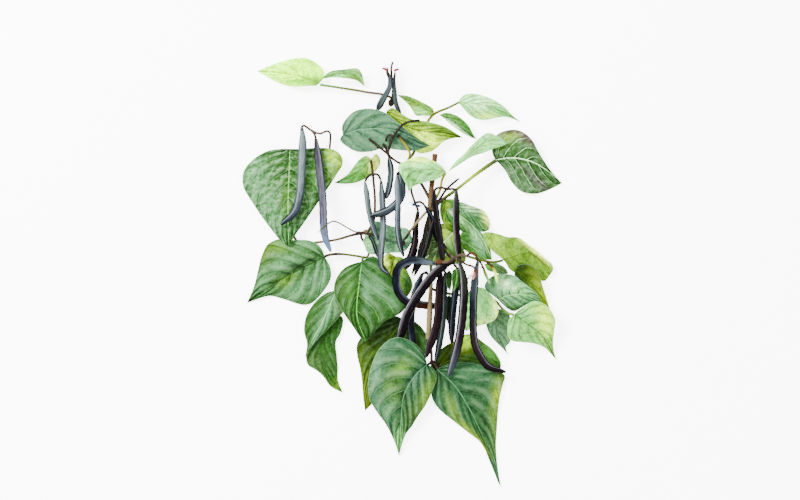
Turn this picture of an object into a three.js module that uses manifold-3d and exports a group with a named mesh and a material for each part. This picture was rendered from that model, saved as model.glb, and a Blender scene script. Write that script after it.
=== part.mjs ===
// A cut leafy spray of climbing beans lying flat, in millimetres, +Z up.
// X runs to the right and Y runs towards the cut top of the stem.
// Every plan point is measured from the middle of the spray's picture, one millimetre to one unit.
import * as THREE from "three";
import { mergeVertices } from "three/addons/utils/BufferGeometryUtils.js";
import Module from "manifold-3d";

const wasm = await Module();
wasm.setup();

// Driving dimensions
const BLADE_THICKNESS = 0.9;
const BLADE_ROWS = 9;
const BLADE_COLUMNS = 2;
const LARGE_BLADE_ROWS = 12;
const LARGE_BLADE_COLUMNS = 3;
const RIB_EASE = 1.2;
const POD_SIDES = 7;
const POD_RING_STEP = 13;
const POD_GAP = 1.2;
const POD_NECK = 0.15;
const POD_FLATNESS = 0.8;
const POD_START = 0.4;
const POD_TAPER = 4;
const POD_BEAK = 0.14;
const STEM_SIDES = 5;
const BUD_DETAIL = 0;
const SAME_POINT = 1e-4;
const STEM_ROUGHNESS = 0.7;
const LEAF_ROUGHNESS = 0.55;
const POD_ROUGHNESS = 0.35;

// Colours
const GREEN = 0x4f8f45;
const MINT = 0xa9cfa0;
const LIME = 0xb4cc58;
const TEAL = 0x5f927f;
const OLIVE = 0x647c2c;
const DARK_GREEN = 0x3c6f3c;
const SLATE = 0x5f6a78;
const PURPLE_BLACK = 0x2b1c26;
const NAVY = 0x232a3c;
const MAROON = 0x3d1f28;
const STEM_BROWN = 0x9a7350;

// Blades: rib from base to tip with heights, left and right outlines in plan, and the rise of
// each half away from the rib.
const blades = [
  {
    name: "leaflet_top_left",
    colour: LIME,
    rib: [[-81, 166, 9], [-95, 172, 10], [-112, 176, 8], [-143, 179, 0]],
    left: [[-84, 164], [-90, 164], [-102, 163], [-116, 165], [-131, 172]],
    right: [[-76, 172], [-77, 180], [-84, 187], [-96, 192], [-112, 190], [-128, 185]],
    rise: [-0.2, -0.15],
  },
  {
    name: "leaflet_top_folded",
    colour: MINT,
    rib: [[-78, 171, 10], [-64, 175, 11], [-47, 175, 8], [-35, 163, 2]],
    left: [[-70, 178], [-56, 180], [-42, 181], [-38, 176]],
    right: [[-66, 172], [-52, 171], [-43, 169]],
    rise: [0.35, 0.3],
  },
  {
    name: "leaflet_upper_teal",
    colour: TEAL,
    large: true,
    rib: [[-57, 115, 15], [-40, 120, 16], [-10, 120, 16], [10, 113, 15], [30, 104, 13]],
    left: [[-58, 123], [-52, 133], [-44, 139], [-30, 141], [-15, 137], [0, 125], [15, 113]],
    right: [[-60, 110], [-53, 103], [-43, 98], [-30, 98], [-17, 101], [5, 99], [15, 99]],
    rise: [-0.08, -0.1],
  },
  {
    name: "leaflet_upper_lime",
    colour: LIME,
    rib: [[-14, 138, 8], [5, 124, 9], [25, 118, 10], [45, 117, 9], [63, 112, 4]],
    left: [[-8, 142], [0, 137], [11, 131], [28, 128], [45, 123], [57, 116]],
    right: [[-10, 128], [2, 114], [12, 104], [18, 97], [30, 98], [38, 103], [43, 108], [55, 112]],
    rise: [-0.1, -0.1],
  },
  {
    name: "leaflet_top_young",
    colour: MINT,
    rib: [[34, 137, 8], [24, 141, 9], [11, 148, 9], [-3, 155, 7]],
    left: [[30, 134], [22, 134], [16, 134], [10, 143], [3, 150]],
    right: [[33, 141], [27, 145], [17, 150], [7, 154]],
    rise: [0.3, 0.3],
  },
  {
    name: "leaflet_top_narrow",
    colour: GREEN,
    rib: [[39, 135, 8], [51, 130, 8], [64, 120, 6], [76, 111, 1]],
    left: [[45, 137], [57, 134], [67, 126], [72, 118]],
    right: [[43, 132], [52, 124], [62, 117], [70, 113]],
    rise: [0.3, 0.3],
  },
  {
    name: "leaflet_top_right",
    colour: MINT,
    rib: [[58, 147, 9], [74, 146, 10], [92, 142, 8], [106, 136, 4], [121, 128, 0]],
    left: [[60, 151], [64, 155], [75, 156], [89, 152], [103, 144], [112, 135]],
    right: [[63, 142], [68, 136], [76, 131], [86, 130], [96, 132], [106, 133]],
    rise: [-0.15, -0.2],
  },
  {
    name: "leaflet_right_folded",
    colour: MINT,
    rib: [[48, 78, 14], [66, 93, 16], [84, 106, 17], [97, 110, 17], [109, 107, 16]],
    left: [[55, 88], [64, 96], [72, 105], [82, 114], [88, 117], [94, 115], [101, 111]],
    right: [[56, 83], [72, 93], [84, 97], [94, 101], [103, 104]],
    rise: [-0.25, -0.1],
  },
  {
    name: "leaflet_right_purple",
    colour: DARK_GREEN,
    large: true,
    rib: [[95, 90, 11], [112, 92, 12], [132, 88, 10], [149, 78, 4], [162, 67, 0]],
    left: [[92, 97], [92, 108], [98, 116], [110, 120], [120, 119], [131, 111], [139, 97], [151, 79]],
    right: [[100, 85], [105, 79], [112, 67], [122, 58], [135, 56], [146, 59], [155, 63]],
    rise: [-0.12, -0.18],
  },
  {
    name: "leaflet_centre_mint",
    colour: MINT,
    rib: [[46, 78, 16], [26, 80, 17], [10, 75, 17], [9, 58, 15]],
    left: [[40, 72], [23, 67], [13, 63]],
    right: [[41, 84], [33, 89], [22, 93], [8, 90], [-2, 83], [1, 75], [6, 65]],
    rise: [-0.05, -0.1],
  },
  {
    name: "leaflet_left_small",
    colour: GREEN,
    rib: [[-29, 91, 9], [-36, 82, 9], [-50, 73, 6], [-66, 67, 1]],
    left: [[-24, 96], [-20, 92], [-20, 85], [-25, 78], [-35, 71], [-45, 67], [-56, 66]],
    right: [[-33, 94], [-40, 91], [-46, 84], [-52, 76], [-59, 71]],
    rise: [-0.1, -0.1],
  },
  {
    name: "leaflet_left_large",
    colour: GREEN,
    large: true,
    rib: [[-110, 101, 9], [-111, 70, 11], [-112, 40, 10], [-111, 3, 7]],
    left: [[-99, 101], [-84, 102], [-69, 101], [-60, 96], [-57, 87], [-64, 74], [-73, 60], [-82, 47],
      [-95, 28], [-105, 14]],
    right: [[-119, 101], [-132, 99], [-146, 91], [-156, 79], [-157, 65], [-146, 45], [-132, 25],
      [-120, 10]],
    rise: [-0.03, -0.14],
  },
  {
    name: "leaflet_left_mid",
    colour: GREEN,
    large: true,
    rib: [[-75, -7, 8], [-95, -17, 8], [-116, -28, 5], [-153, -53, 0]],
    left: [[-70, -16], [-69, -28], [-77, -42], [-88, -53], [-96, -55], [-117, -49], [-130, -46],
      [-142, -49]],
    right: [[-78, 1], [-84, 7], [-93, 10], [-107, 10], [-121, 11], [-132, 6], [-138, -5],
      [-142, -20], [-146, -36]],
    rise: [-0.12, -0.14],
  },
  {
    name: "leaflet_centre_large",
    colour: GREEN,
    large: true,
    rib: [[-38, -14, 12], [-41, -34, 15], [-43, -66, 12], [-34, -92, 6]],
    left: [[-33, -8], [-27, -6], [-19, -11], [-8, -27], [1, -44], [7, -53], [2, -62], [-15, -71],
      [-26, -82]],
    right: [[-44, -12], [-55, -17], [-63, -27], [-66, -41], [-58, -60], [-48, -75], [-39, -88]],
    rise: [-0.1, -0.12],
  },
  {
    name: "leaflet_centre_lime",
    colour: LIME,
    rib: [[-5, -6, 5], [-9, -20, 5.5], [-12, -36, 5], [-8, -58, 3]],
    left: [[3, -8], [7, -20], [12, -31], [12, -39], [4, -50]],
    right: [[-12, -3], [-18, -10], [-23, -25], [-19, -42]],
    rise: [-0.05, -0.05],
  },
  {
    name: "leaflet_lower_left_front",
    colour: GREEN,
    rib: [[-64, -40, 5], [-71, -57, 8], [-80, -76, 8], [-89, -92, 6], [-95, -108, 4]],
    left: [[-57, -46], [-54, -58], [-60, -66], [-71, -78], [-85, -92], [-92, -102]],
    right: [[-74, -43], [-84, -51], [-93, -64], [-96, -80], [-93, -94]],
    rise: [-0.05, -0.25],
  },
  {
    name: "leaflet_lower_left_back",
    colour: DARK_GREEN,
    rib: [[-62, -64, 2], [-76, -88, 2], [-78, -108, 2], [-70, -127, 1], [-57, -143, 0]],
    left: [[-57, -68], [-59, -82], [-64, -92], [-63, -106], [-62, -118], [-62, -130]],
    right: [[-74, -76], [-88, -93], [-94, -105], [-92, -115], [-84, -120], [-77, -126], [-70, -136]],
    rise: [0.02, -0.04],
  },
  {
    name: "leaflet_lower_olive",
    colour: OLIVE,
    large: true,
    rib: [[4, -70, 0], [-16, -96, 0], [-29, -126, 0], [-35, -161, 0]],
    left: [[10, -69], [17, -73], [23, -79], [28, -88], [29, -99], [24, -112], [8, -130], [-14, -143],
      [-28, -154]],
    right: [[-4, -66], [-18, -71], [-34, -82], [-43, -94], [-43, -105], [-40, -118], [-38, -132],
      [-37, -146]],
    rise: [0, 0],
  },
  {
    name: "leaflet_bottom_teal",
    colour: TEAL,
    large: true,
    rib: [[27, -114, 12], [15, -125, 14], [4, -144, 13], [1, -170, 7], [-1, -206, 0]],
    left: [[32, -118], [36, -126], [33, -136], [30, -146], [25, -156], [18, -166], [12, -176],
      [6, -184], [2, -195]],
    right: [[25, -106], [21, -99], [13, -92], [4, -88], [-4, -87], [-13, -91], [-21, -99], [-27, -111],
      [-31, -125], [-32, -138], [-30, -150], [-23, -162], [-15, -173], [-9, -184], [-4, -196]],
    rise: [-0.15, 0.06],
  },
  {
    name: "leaflet_bottom_right",
    colour: GREEN,
    large: true,
    rib: [[37, -119, 8], [55, -136, 8], [70, -160, 6], [84, -190, 2], [101, -237, 0]],
    left: [[45, -115], [54, -113], [65, -112], [77, -114], [90, -119], [101, -122], [105, -126],
      [103, -134], [100, -146], [98, -162], [97, -178], [96, -195], [97, -211], [99, -226]],
    right: [[37, -129], [33, -137], [32, -146], [35, -154], [42, -162], [51, -169], [61, -177],
      [70, -184], [78, -190], [84, -198], [89, -210], [94, -222], [98, -232]],
    rise: [-0.08, -0.12],
  },
  {
    name: "leaflet_bottom_back",
    colour: OLIVE,
    rib: [[38, -115, 4], [58, -108, 3.5], [80, -112, 2.5], [99, -126, 1]],
    left: [[36, -108], [38, -102], [45, -96], [54, -91], [67, -84], [75, -86], [83, -92], [91, -98],
      [97, -105], [101, -114]],
    right: [[48, -122], [65, -126], [82, -130], [92, -130]],
    rise: [-0.06, -0.06],
  },
  {
    name: "leaflet_right_mint",
    colour: MINT,
    rib: [[56, 44, 3], [67, 38, 4], [78, 30, 4], [89, 20, 3]],
    left: [[60, 48], [69, 45], [78, 42], [84, 39], [88, 33], [90, 26]],
    right: [[57, 38], [64, 32], [73, 25], [82, 18]],
    rise: [-0.1, -0.1],
  },
  {
    name: "leaflet_right_striped",
    colour: MINT,
    rib: [[46, 40, 6], [60, 34, 8], [74, 23, 9], [84, 8, 8], [92, -10, 6]],
    left: [[51, 42], [61, 37], [70, 30], [78, 21], [84, 14], [90, 2]],
    right: [[45, 33], [51, 26], [61, 19], [70, 9], [78, -1], [85, -9]],
    rise: [0.1, -0.08],
  },
  {
    name: "leaflet_right_olive",
    colour: OLIVE,
    rib: [[46, 51, 3], [45, 38, 3.5], [48, 27, 3.5], [57, 16, 2]],
    left: [[52, 50], [53, 42], [52, 34], [56, 25]],
    right: [[41, 47], [40, 37], [43, 27], [49, 19]],
    rise: [0, 0],
  },
  {
    name: "leaflet_right_green",
    colour: GREEN,
    rib: [[59, 11, 11], [68, 6, 12], [78, -2, 12], [87, -12, 10]],
    left: [[63, 13], [72, 11], [80, 5], [85, -4]],
    right: [[60, 4], [66, -1], [76, -7]],
    rise: [-0.05, -0.05],
  },
  {
    name: "leaflet_centre_olive",
    colour: LIME,
    rib: [[54, 15, 1], [42, 6, 1.5], [30, -4, 1.5], [17, -15, 0.6]],
    left: [[59, 8], [62, -4], [68, -13], [50, -14], [34, -16]],
    right: [[48, 22], [38, 24], [26, 18], [20, 6], [17, -6]],
    rise: [0, 0],
  },
  {
    name: "leaflet_right_lime",
    colour: LIME,
    large: true,
    rib: [[103, -10, 19], [115, -6, 18], [128, -3, 14], [141, -11, 8], [150, -25, 3]],
    left: [[97, -5], [90, 1], [86, 6], [83, 12], [83, 17], [88, 18], [94, 17], [101, 15], [107, 13],
      [115, 13], [121, 11], [126, 7], [136, 0], [145, -8], [152, -14], [153, -20]],
    right: [[106, -14], [109, -19], [115, -23], [127, -28], [138, -30], [145, -31]],
    rise: [-0.05, -0.5],
  },
  {
    name: "leaflet_right_dark",
    colour: OLIVE,
    rib: [[115, -20, 14.5], [127, -29, 12.5], [138, -43, 7.5], [150, -60, 0.5]],
    left: [[117, -16], [122, -14], [130, -15], [136, -20], [140, -28], [143, -38], [147, -50]],
    right: [[114, -25], [118, -31], [127, -40], [136, -50], [143, -57]],
    rise: [-0.05, -0.05],
  },
  {
    name: "leaflet_right_teal",
    colour: TEAL,
    rib: [[97, -49, 18], [108, -45, 20], [122, -44, 19], [133, -47, 17], [142, -52, 14.5]],
    left: [[92, -45], [86, -40], [84, -36], [87, -30], [92, -26], [98, -24], [107, -24], [115, -26],
      [121, -31], [128, -36], [136, -43]],
    right: [[102, -54], [108, -59], [114, -61], [122, -57], [131, -52]],
    rise: [-0.03, -0.3],
  },
  {
    name: "leaflet_right_pale",
    colour: LIME,
    large: true,
    rib: [[114, -64, 20], [129, -75, 18], [143, -87, 10], [156, -110, 0]],
    left: [[118, -60], [124, -56], [132, -51], [140, -52], [147, -56], [152, -63], [155, -70],
      [154, -80], [153, -95]],
    right: [[109, -69], [107, -78], [108, -87], [113, -91], [122, -92], [136, -94], [145, -98],
      [151, -104]],
    rise: [0.02, -0.15],
  },
  {
    name: "leaflet_right_round",
    colour: MINT,
    rib: [[79, -37, 13], [79, -50, 14], [75, -64, 13], [66, -81, 10]],
    left: [[84, -38], [91, -45], [97, -54], [98, -62], [95, -69], [88, -73], [77, -76]],
    right: [[73, -38], [66, -45], [62, -55], [61, -66], [62, -75]],
    rise: [-0.02, -0.02],
  },
  {
    name: "leaflet_right_hanging",
    colour: TEAL,
    rib: [[94, -60, 6], [96, -78, 5], [101, -92, 3], [108, -105, 0.5]],
    left: [[101, -59], [109, -64], [110, -78], [110, -92], [106, -97]],
    right: [[88, -64], [86, -74], [89, -83], [93, -89], [99, -95], [104, -100]],
    rise: [-0.05, -0.05],
  },
  {
    name: "leaflet_right_tiny",
    colour: GREEN,
    rib: [[84, -14, 13], [93, -16, 13], [101, -19, 12], [108, -23, 11]],
    left: [[91, -12], [101, -15], [106, -19]],
    right: [[87, -20], [96, -23], [104, -25]],
    rise: [-0.05, -0.05],
  },
  {
    name: "leaflet_centre_teal",
    colour: TEAL,
    rib: [[13, 10, 2.5], [-5, 12, 3.5], [-20, 11, 4], [-37, 8, 4]],
    left: [[5, -1], [-10, -3], [-22, -4], [-32, -3]],
    right: [[8, 21], [-5, 23], [-15, 26], [-24, 29], [-32, 22]],
    rise: [-0.05, -0.05],
  },
];

// Pods: centre line from the calyx to the beak with heights, and the greatest half width.
const pods = [
  { name: "pod_left_a", colour: SLATE, half: 4, line: [[-98, 122, 15], [-97, 113, 16], [-98, 80, 18],
    [-100, 55, 18], [-105, 38, 17], [-119, 25, 14]] },
  { name: "pod_left_b", colour: SLATE, half: 4, line: [[-84, 111, 14], [-80, 80, 16], [-77, 50, 16],
    [-75, 15, 14], [-69, -2, 11]] },
  { name: "pod_top_a", colour: SLATE, half: 3.8, neck: 0.9, line: [[-13, 178, 11], [-10, 169.5, 11],
    [-11, 161, 11], [-16, 152, 10], [-23, 139, 8.5]] },
  { name: "pod_top_b", colour: SLATE, half: 2.4, neck: 0.4, line: [[-5, 177, 9], [-6, 167, 8],
    [-5.5, 157, 8], [-4, 146, 7], [1, 135, 5]] },
  { name: "pod_upper_a", colour: SLATE, half: 2.8, line: [[-35, 68, 13], [-33, 55, 12],
    [-31, 40, 11.5], [-28, 27, 11.5], [-22, 9, 10.5]] },
  { name: "pod_upper_b", colour: SLATE, half: 3.2, line: [[-19, 69, 13], [-18, 55, 12.5],
    [-17, 35, 12], [-17, 20, 13], [-19, -5, 16], [-18, -18, 18], [-11, -24, 18]] },
  { name: "pod_upper_c", colour: SLATE, half: 3.2, line: [[-11, 92, 14], [-9, 78, 14],
    [-11, 62, 13], [-14, 51, 11]] },
  { name: "pod_upper_d", colour: SLATE, half: 4, line: [[0, 77, 9], [1.5, 68, 10.5], [1, 53, 16.5],
    [-7, 43, 19], [-15, 38, 19.5], [-30, 34, 16]] },
  { name: "pod_upper_e", colour: SLATE, half: 3, line: [[-3, 74, 10.5], [-3, 64, 18], [-2, 50, 25],
    [-2, 20, 21], [1, 2, 16], [4, -7, 13]] },
  { name: "pod_upper_f", colour: PURPLE_BLACK, half: 1.8, line: [[-31, 15, 6.6], [-27, 8, 6.8],
    [-24, -1, 6.8], [-22, -8, 6]] },
  { name: "pod_dark_a", colour: MAROON, half: 4.6, neck: 0.8, line: [[18, 38, 10], [16, 25, 10],
    [14.5, 5, 10], [10, -10, 10], [5, -19, 9]] },
  { name: "pod_dark_b", colour: MAROON, half: 2.4, line: [[27.4, 31.5, 12], [25.5, 20, 13], [22.5, 5, 13],
    [18, -8, 12.5], [12, -24, 11]] },
  { name: "pod_dark_c", colour: PURPLE_BLACK, half: 2.7, line: [[34, 31, 20.5], [31, 20, 20],
    [27.5, 5, 18], [22.5, -8, 16.5], [14, -26, 15]] },
  { name: "pod_dark_d", colour: PURPLE_BLACK, half: 3.2, line: [[34, 58, 30], [35, 45, 29],
    [37, 30, 28.5], [41, 10, 27], [43, -11, 25]] },
  { name: "pod_dark_e", colour: PURPLE_BLACK, half: 3.4, line: [[56.5, 59, 26], [56.5, 50, 25],
    [56.5, 25, 22], [58, 0, 23], [59, -8, 24]] },
  { name: "pod_navy_a", colour: NAVY, half: 2.4, line: [[24, 45, 15], [28, 39, 15.6], [33, 29, 15.6],
    [36, 13, 14], [46, 0, 11], [50, -8, 9]] },
  { name: "pod_looped", colour: NAVY, half: 4, line: [[36, -14, 28], [28, -12, 28], [15, -10, 27],
    [5, -12, 25], [-2, -18, 23], [-4, -30, 20], [-1, -43, 17], [8, -52, 15], [18, -54, 12.5],
    [29, -55.5, 7.5], [38, -56, 5.5], [49, -57, 4.5]] },
  { name: "pod_front_a", colour: NAVY, half: 3.8, line: [[22, -24, 14], [18, -35, 10], [13.5, -50, 6],
    [11, -65, 5.8], [11, -80, 6], [14, -102, 6]] },
  { name: "pod_front_b", colour: PURPLE_BLACK, half: 4.6, line: [[54, -11, 33.5], [43, -16, 31.5],
    [32, -26, 28.5], [22, -39, 24.5], [13, -53, 21.5], [6, -67, 16.5], [1, -84, 10], [-4, -99, 7]] },
  { name: "pod_front_c", colour: MAROON, half: 4.2, line: [[40.5, -21, 23], [39, -45, 23],
    [38, -65, 21.5], [34.5, -83, 20], [29.5, -96, 18.5], [26, -107, 17]] },
  { name: "pod_front_d", colour: SLATE, half: 3.3, line: [[45, -22, 20], [44, -40, 15], [43.5, -60, 12],
    [41.5, -80, 10], [38, -100, 8.5], [35, -112, 8]] },
  { name: "pod_front_e", colour: NAVY, half: 3.6, line: [[58, -20, 26], [56, -35, 22], [54, -50, 19],
    [52, -70, 14], [51.5, -93, 9]] },
  { name: "pod_front_f", colour: PURPLE_BLACK, half: 4.4, line: [[59, -12, 37], [63, -30, 34.5],
    [62.5, -60, 30], [59.5, -85, 23], [54.5, -107, 16], [48, -126, 11]] },
  { name: "pod_front_g", colour: PURPLE_BLACK, half: 3.9, line: [[77, -12, 36], [75, -25, 34],
    [73, -50, 29], [73, -80, 22], [75, -95, 18], [81, -107, 14], [88, -116, 11], [106, -122, 8.5]] },
];

// Stems, petioles and stalks that grew as one piece: a line with a half width at each point.
const stems = {
  main_stem: [[35, 96, 8, 2.6], [34, 85, 8, 2.6], [32, 68, 8.5, 2.5], [30, 45, 10, 2.5],
    [30, 20, 10, 2.3], [31, -31, 14, 2.2], [30, -52, 14.5, 2.1], [28, -85, 10, 1.8]],
  bottom_petiole: [[28, -84, 10, 1.6], [31, -98, 6, 1.3], [31, -112, 6.5, 1.3], [28, -114, 10, 1.1]],
  bottom_right_petiole: [[31, -110, 6.3, 1.2], [36, -118, 5.8, 1]],
  top_left_petiole: [[-80, 165, 7, 0.9], [-60, 162, 6, 0.9], [-35, 158, 4, 1], [-9, 152, 3.4, 1],
    [0, 132, 3, 1], [10, 115, 3, 1.1], [15, 100, 4, 1.2]],
  top_right_petiole: [[57.5, 147, 7, 0.9], [48, 142, 6, 1], [38, 138, 5, 1.1], [32, 134, 5, 1.2],
    [27, 127, 4.5, 1.2], [20, 112, 4, 1.3], [13, 96, 4.5, 1.3], [8, 89, 6, 1.3], [12, 80, 7, 1.4],
    [22, 65, 8.5, 1.5], [30, 50, 10, 1.6]],
  top_pod_stalk: [[-8, 151, 3.4, 0.9], [-7, 162, 3.4, 0.9], [-8.5, 174, 4, 0.9], [-8.5, 183, 8, 0.8],
    [-7, 188, 9, 0.7]],
  centre_petiole: [[45.5, 77, 14, 1], [42, 70, 12, 1.1], [40, 60, 11.5, 1.1], [31, 43, 10.5, 1.3]],
  right_petiole: [[95, 89, 8.5, 1.6], [75, 75, 11, 1.6], [56, 60, 14, 1.6], [41, 49, 14, 1.6],
    [30, 38, 10.5, 1.8]],
  left_branch: [[30, 37, 10.5, 1.4], [19, 29, 17, 1.4], [11, 19, 16, 1.4], [3, 10, 9, 1.5],
    [-15, 11, 6, 1.2], [-30, 16, 9.2, 1.3], [-42, 16, 9, 1.4], [-65, 10, 7.5, 1.2], [-84, 7.5, 3, 1],
    [-99, 6, 1.8, 1], [-106, 14, 2, 1], [-104, 40, 4, 1], [-96, 62, 4.5, 1], [-80, 82, 4.5, 0.9],
    [-72, 92, 4.5, 0.9], [-70, 104, 6, 0.9], [-70, 117, 11, 0.9], [-73, 118.5, 13, 0.8],
    [-80, 116, 13.5, 0.8], [-88, 119, 14, 0.8], [-96, 124, 15.5, 0.8], [-98, 122.5, 15, 0.8]],
  left_pod_stalk: [[-88, 119, 14, 0.8], [-85, 115, 14, 0.8], [-84, 111.5, 14, 0.8]],
  large_leaf_petiole: [[-96, 62, 4.5, 1], [-106, 80, 5, 1], [-110, 96, 7, 1]],
  tendril: [[-35, 18, 9, 0.8], [-44, 18, 13, 0.7], [-65, 28, 22, 0.7], [-73, 29, 24, 0.7],
    [-82, 17, 21, 0.7]],
  mid_leaf_petiole: [[-74.5, -7, 6, 1], [-57, -3.5, 6, 1], [-43, -6, 4.5, 1], [-33, -7, 1.6, 0.9],
    [-31, 3, 1.2, 0.9], [-38, 11, 2, 0.9], [-39, 16, 8, 1]],
  centre_leaf_petiole: [[-38, -13, 9.5, 1], [-37, -8, 6, 1], [-36, -6.5, 2.8, 1]],
  brown_stalk: [[-29, 89.5, 11, 1], [-27, 75, 13, 1], [-25, 50, 10.5, 1.1], [-25.5, 35, 8.5, 1.1],
    [-27, 26, 7, 1.1], [-33, 17, 8, 1.2]],
  pod_arch: [[-34.5, 69, 13, 0.8], [-32, 73, 14, 0.8], [-27, 75.5, 14, 0.9], [-22, 75, 14, 0.8],
    [-19.2, 70, 13.2, 0.8]],
  black_stalk: [[18, 129, 16, 0.9], [10, 128, 18, 0.9], [2, 124, 19.5, 0.9], [-8, 110, 19, 1],
    [-12, 97, 17, 1]],
  black_side_stalk: [[-14, 108, 19, 0.8], [-13, 112, 19.5, 0.7], [-10, 114.5, 19.5, 0.7],
    [-6, 112, 19.3, 0.8]],
  black_second_stalk: [[-17, 106, 18, 0.8], [-12, 97, 17, 0.9], [-11, 92.5, 14.5, 0.9]],
  thin_brown_stalk: [[-30, 110, 19, 0.8], [-15, 98, 17, 0.9], [-6, 90, 12, 0.9], [2, 86, 8, 0.9],
    [9, 87, 6.2, 0.9]],
  yellow_stalk: [[-1, 113, 18.5, 0.9], [5, 105, 18, 0.8], [9.5, 97.5, 16.6, 0.8], [9.5, 93, 11, 0.9],
    [9, 89.5, 6.2, 0.9]],
  upper_pods_stalk: [[9, 85, 7, 1], [3, 79, 8.5, 1], [0, 77, 9.8, 0.9]],
  upper_thin_stalk: [[2, 79, 8.7, 0.9], [-2, 77, 9.5, 0.8], [-3, 74.5, 10.3, 0.8]],
  flower_stalk: [[14, 76, 7.3, 0.9], [11, 62, 8, 0.8], [15, 47, 11, 0.8], [17.5, 41, 11, 0.8],
    [18, 38.5, 10.2, 0.8]],
  navy_stalk: [[15, 47, 11, 0.8], [20, 48, 13, 0.8], [24, 45.5, 15, 0.8]],
  dark_b_stalk: [[30, 36, 10, 0.9], [28, 33, 11.6, 0.9], [27.4, 31.8, 12, 0.8]],
  dark_c_stalk: [[32, 44, 11, 0.9], [35, 40, 18, 0.8], [34.5, 33, 20.5, 0.8]],
  knob_stalk: [[31, 46, 11, 0.9], [38, 49, 19.5, 0.9], [46, 60, 27, 0.9], [57, 70, 27, 0.7]],
  dark_arch: [[34, 58.5, 30.2, 0.8], [36, 61, 31, 0.8], [41, 62, 30.5, 0.8], [47, 60.5, 28, 0.8],
    [54, 60.5, 26.5, 0.8], [56.5, 59, 26, 0.8]],
  front_link: [[30, -4, 12, 1.3], [35, -1, 16, 1.3], [40, 2, 18.5, 1.2], [45, 1, 21, 1.2],
    [50, -4, 29, 1.1], [53, -8, 37, 1.1]],
  front_stalk: [[42, -12, 38, 1], [47, -12, 38.5, 1], [53, -8.5, 38.2, 1.2], [60, -5, 38, 1.2],
    [66, -6, 37, 1.1], [80, -10, 34, 1], [93, -12, 26, 1], [102, -10.5, 17, 1]],
  front_b_stalk: [[53, -8, 37, 1], [54.5, -10, 35.5, 0.9], [54.3, -10.8, 34.2, 0.9]],
  front_f_stalk: [[57, -6.5, 38, 0.9], [59, -11, 37.4, 0.9]],
  front_g_stalk: [[66, -6, 37, 0.9], [70, -3, 38.5, 0.9], [74.5, -4.5, 38.5, 0.9],
    [77, -11, 36.5, 0.9]],
  front_e_stalk: [[49, -3, 27, 0.9], [53, -13, 27, 0.9], [57.5, -19, 26.2, 0.9]],
  front_c_stalk: [[31, -24, 13, 0.9], [36, -23, 18, 0.9], [40, -21, 22.3, 0.9]],
  front_d_stalk: [[36, -23, 18, 0.9], [40.5, -20.5, 19, 0.9], [44.8, -21, 20, 0.9]],
  looped_stalk: [[42, -12, 38, 0.9], [38.5, -10.5, 36, 0.9], [36.5, -12.5, 30, 0.9]],
  front_a_stalk: [[31, -26, 13.5, 0.9], [26, -23, 15, 0.9], [22.3, -23.5, 14.2, 0.9]],
  remnant_stalk: [[58.5, -9, 38.5, 0.7], [65, -14, 40.3, 0.7], [73, -17, 40.6, 0.7], [75, -22, 39.7, 0.7]],
  young_a_stalk: [[78, -9.5, 34.5, 0.7], [82, -16, 32, 0.7], [85, -24, 28, 1.6], [89, -33, 25, 0.6]],
  young_b_stalk: [[85, -11, 31.5, 0.7], [92, -17, 30, 0.7], [95, -24, 27, 1.5], [97, -33, 25, 0.6]],
  right_low_petiole: [[30, -38, 14.2, 1.3], [40, -42, 10, 1.2], [52, -44, 8.5, 1.2],
    [75, -47, 8.5, 1.2], [90, -48, 9, 1.1], [96, -51.5, 10, 1.1], [101.5, -58, 15, 1],
    [108, -63, 16.5, 1], [113.5, -64.5, 17.5, 1]],
  round_leaf_petiole: [[75, -47, 8.5, 0.9], [78, -41, 10, 0.9], [79, -37.5, 11, 0.9]],
  hanging_leaf_petiole: [[88, -48, 9.2, 0.9], [92, -54, 8, 0.9], [94, -59, 7.6, 0.9]],
};

// Buds, knobs and flower remnants that sit on the stems: centre and the three half sizes.
const buds = [
  [-41, 17, 9.5, 3, 2, 2], [-34, 18.5, 9, 2.6, 2.2, 2], [2, 7, 8, 3.5, 3.5, 2.2],
  [18.5, 129, 16, 1.6, 1.4, 1.3], [-30.5, 110.5, 19, 1.4, 1.2, 1.2], [-22, 103, 17.9, 1.6, 1.8, 1.3],
  [-1.5, 113.5, 18.6, 1.5, 1.4, 1.3], [58, 70.5, 27, 1.4, 1.1, 1.1], [-9, 147, 4.4, 3, 4, 2.4],
  [39.5, -12, 35, 3.6, 2.4, 2.2], [73.5, -23.5, 39.4, 3.2, 2, 1.8], [16, 46, 11.5, 3, 2, 2],
  [-8, 187.5, 9, 1.6, 2.6, 1.2], [-8.5, 183, 8, 5, 1.6, 1.2], [76, -22, 39.6, 1.8, 1.8, 1.6],
];

// Smooth line through hand-chosen points, in plan or in space.
function curveThrough(points) {
  const vectors = points.map(([x, y, z = 0]) => new THREE.Vector3(x, y, z));
  return new THREE.CatmullRomCurve3(vectors, false, "centripetal");
}

function geometryFrom(positions, indices) {
  const geometry = new THREE.BufferGeometry();
  geometry.setAttribute("position", new THREE.Float32BufferAttribute(positions, 3));
  geometry.setIndex(indices);
  return geometry;
}

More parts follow.
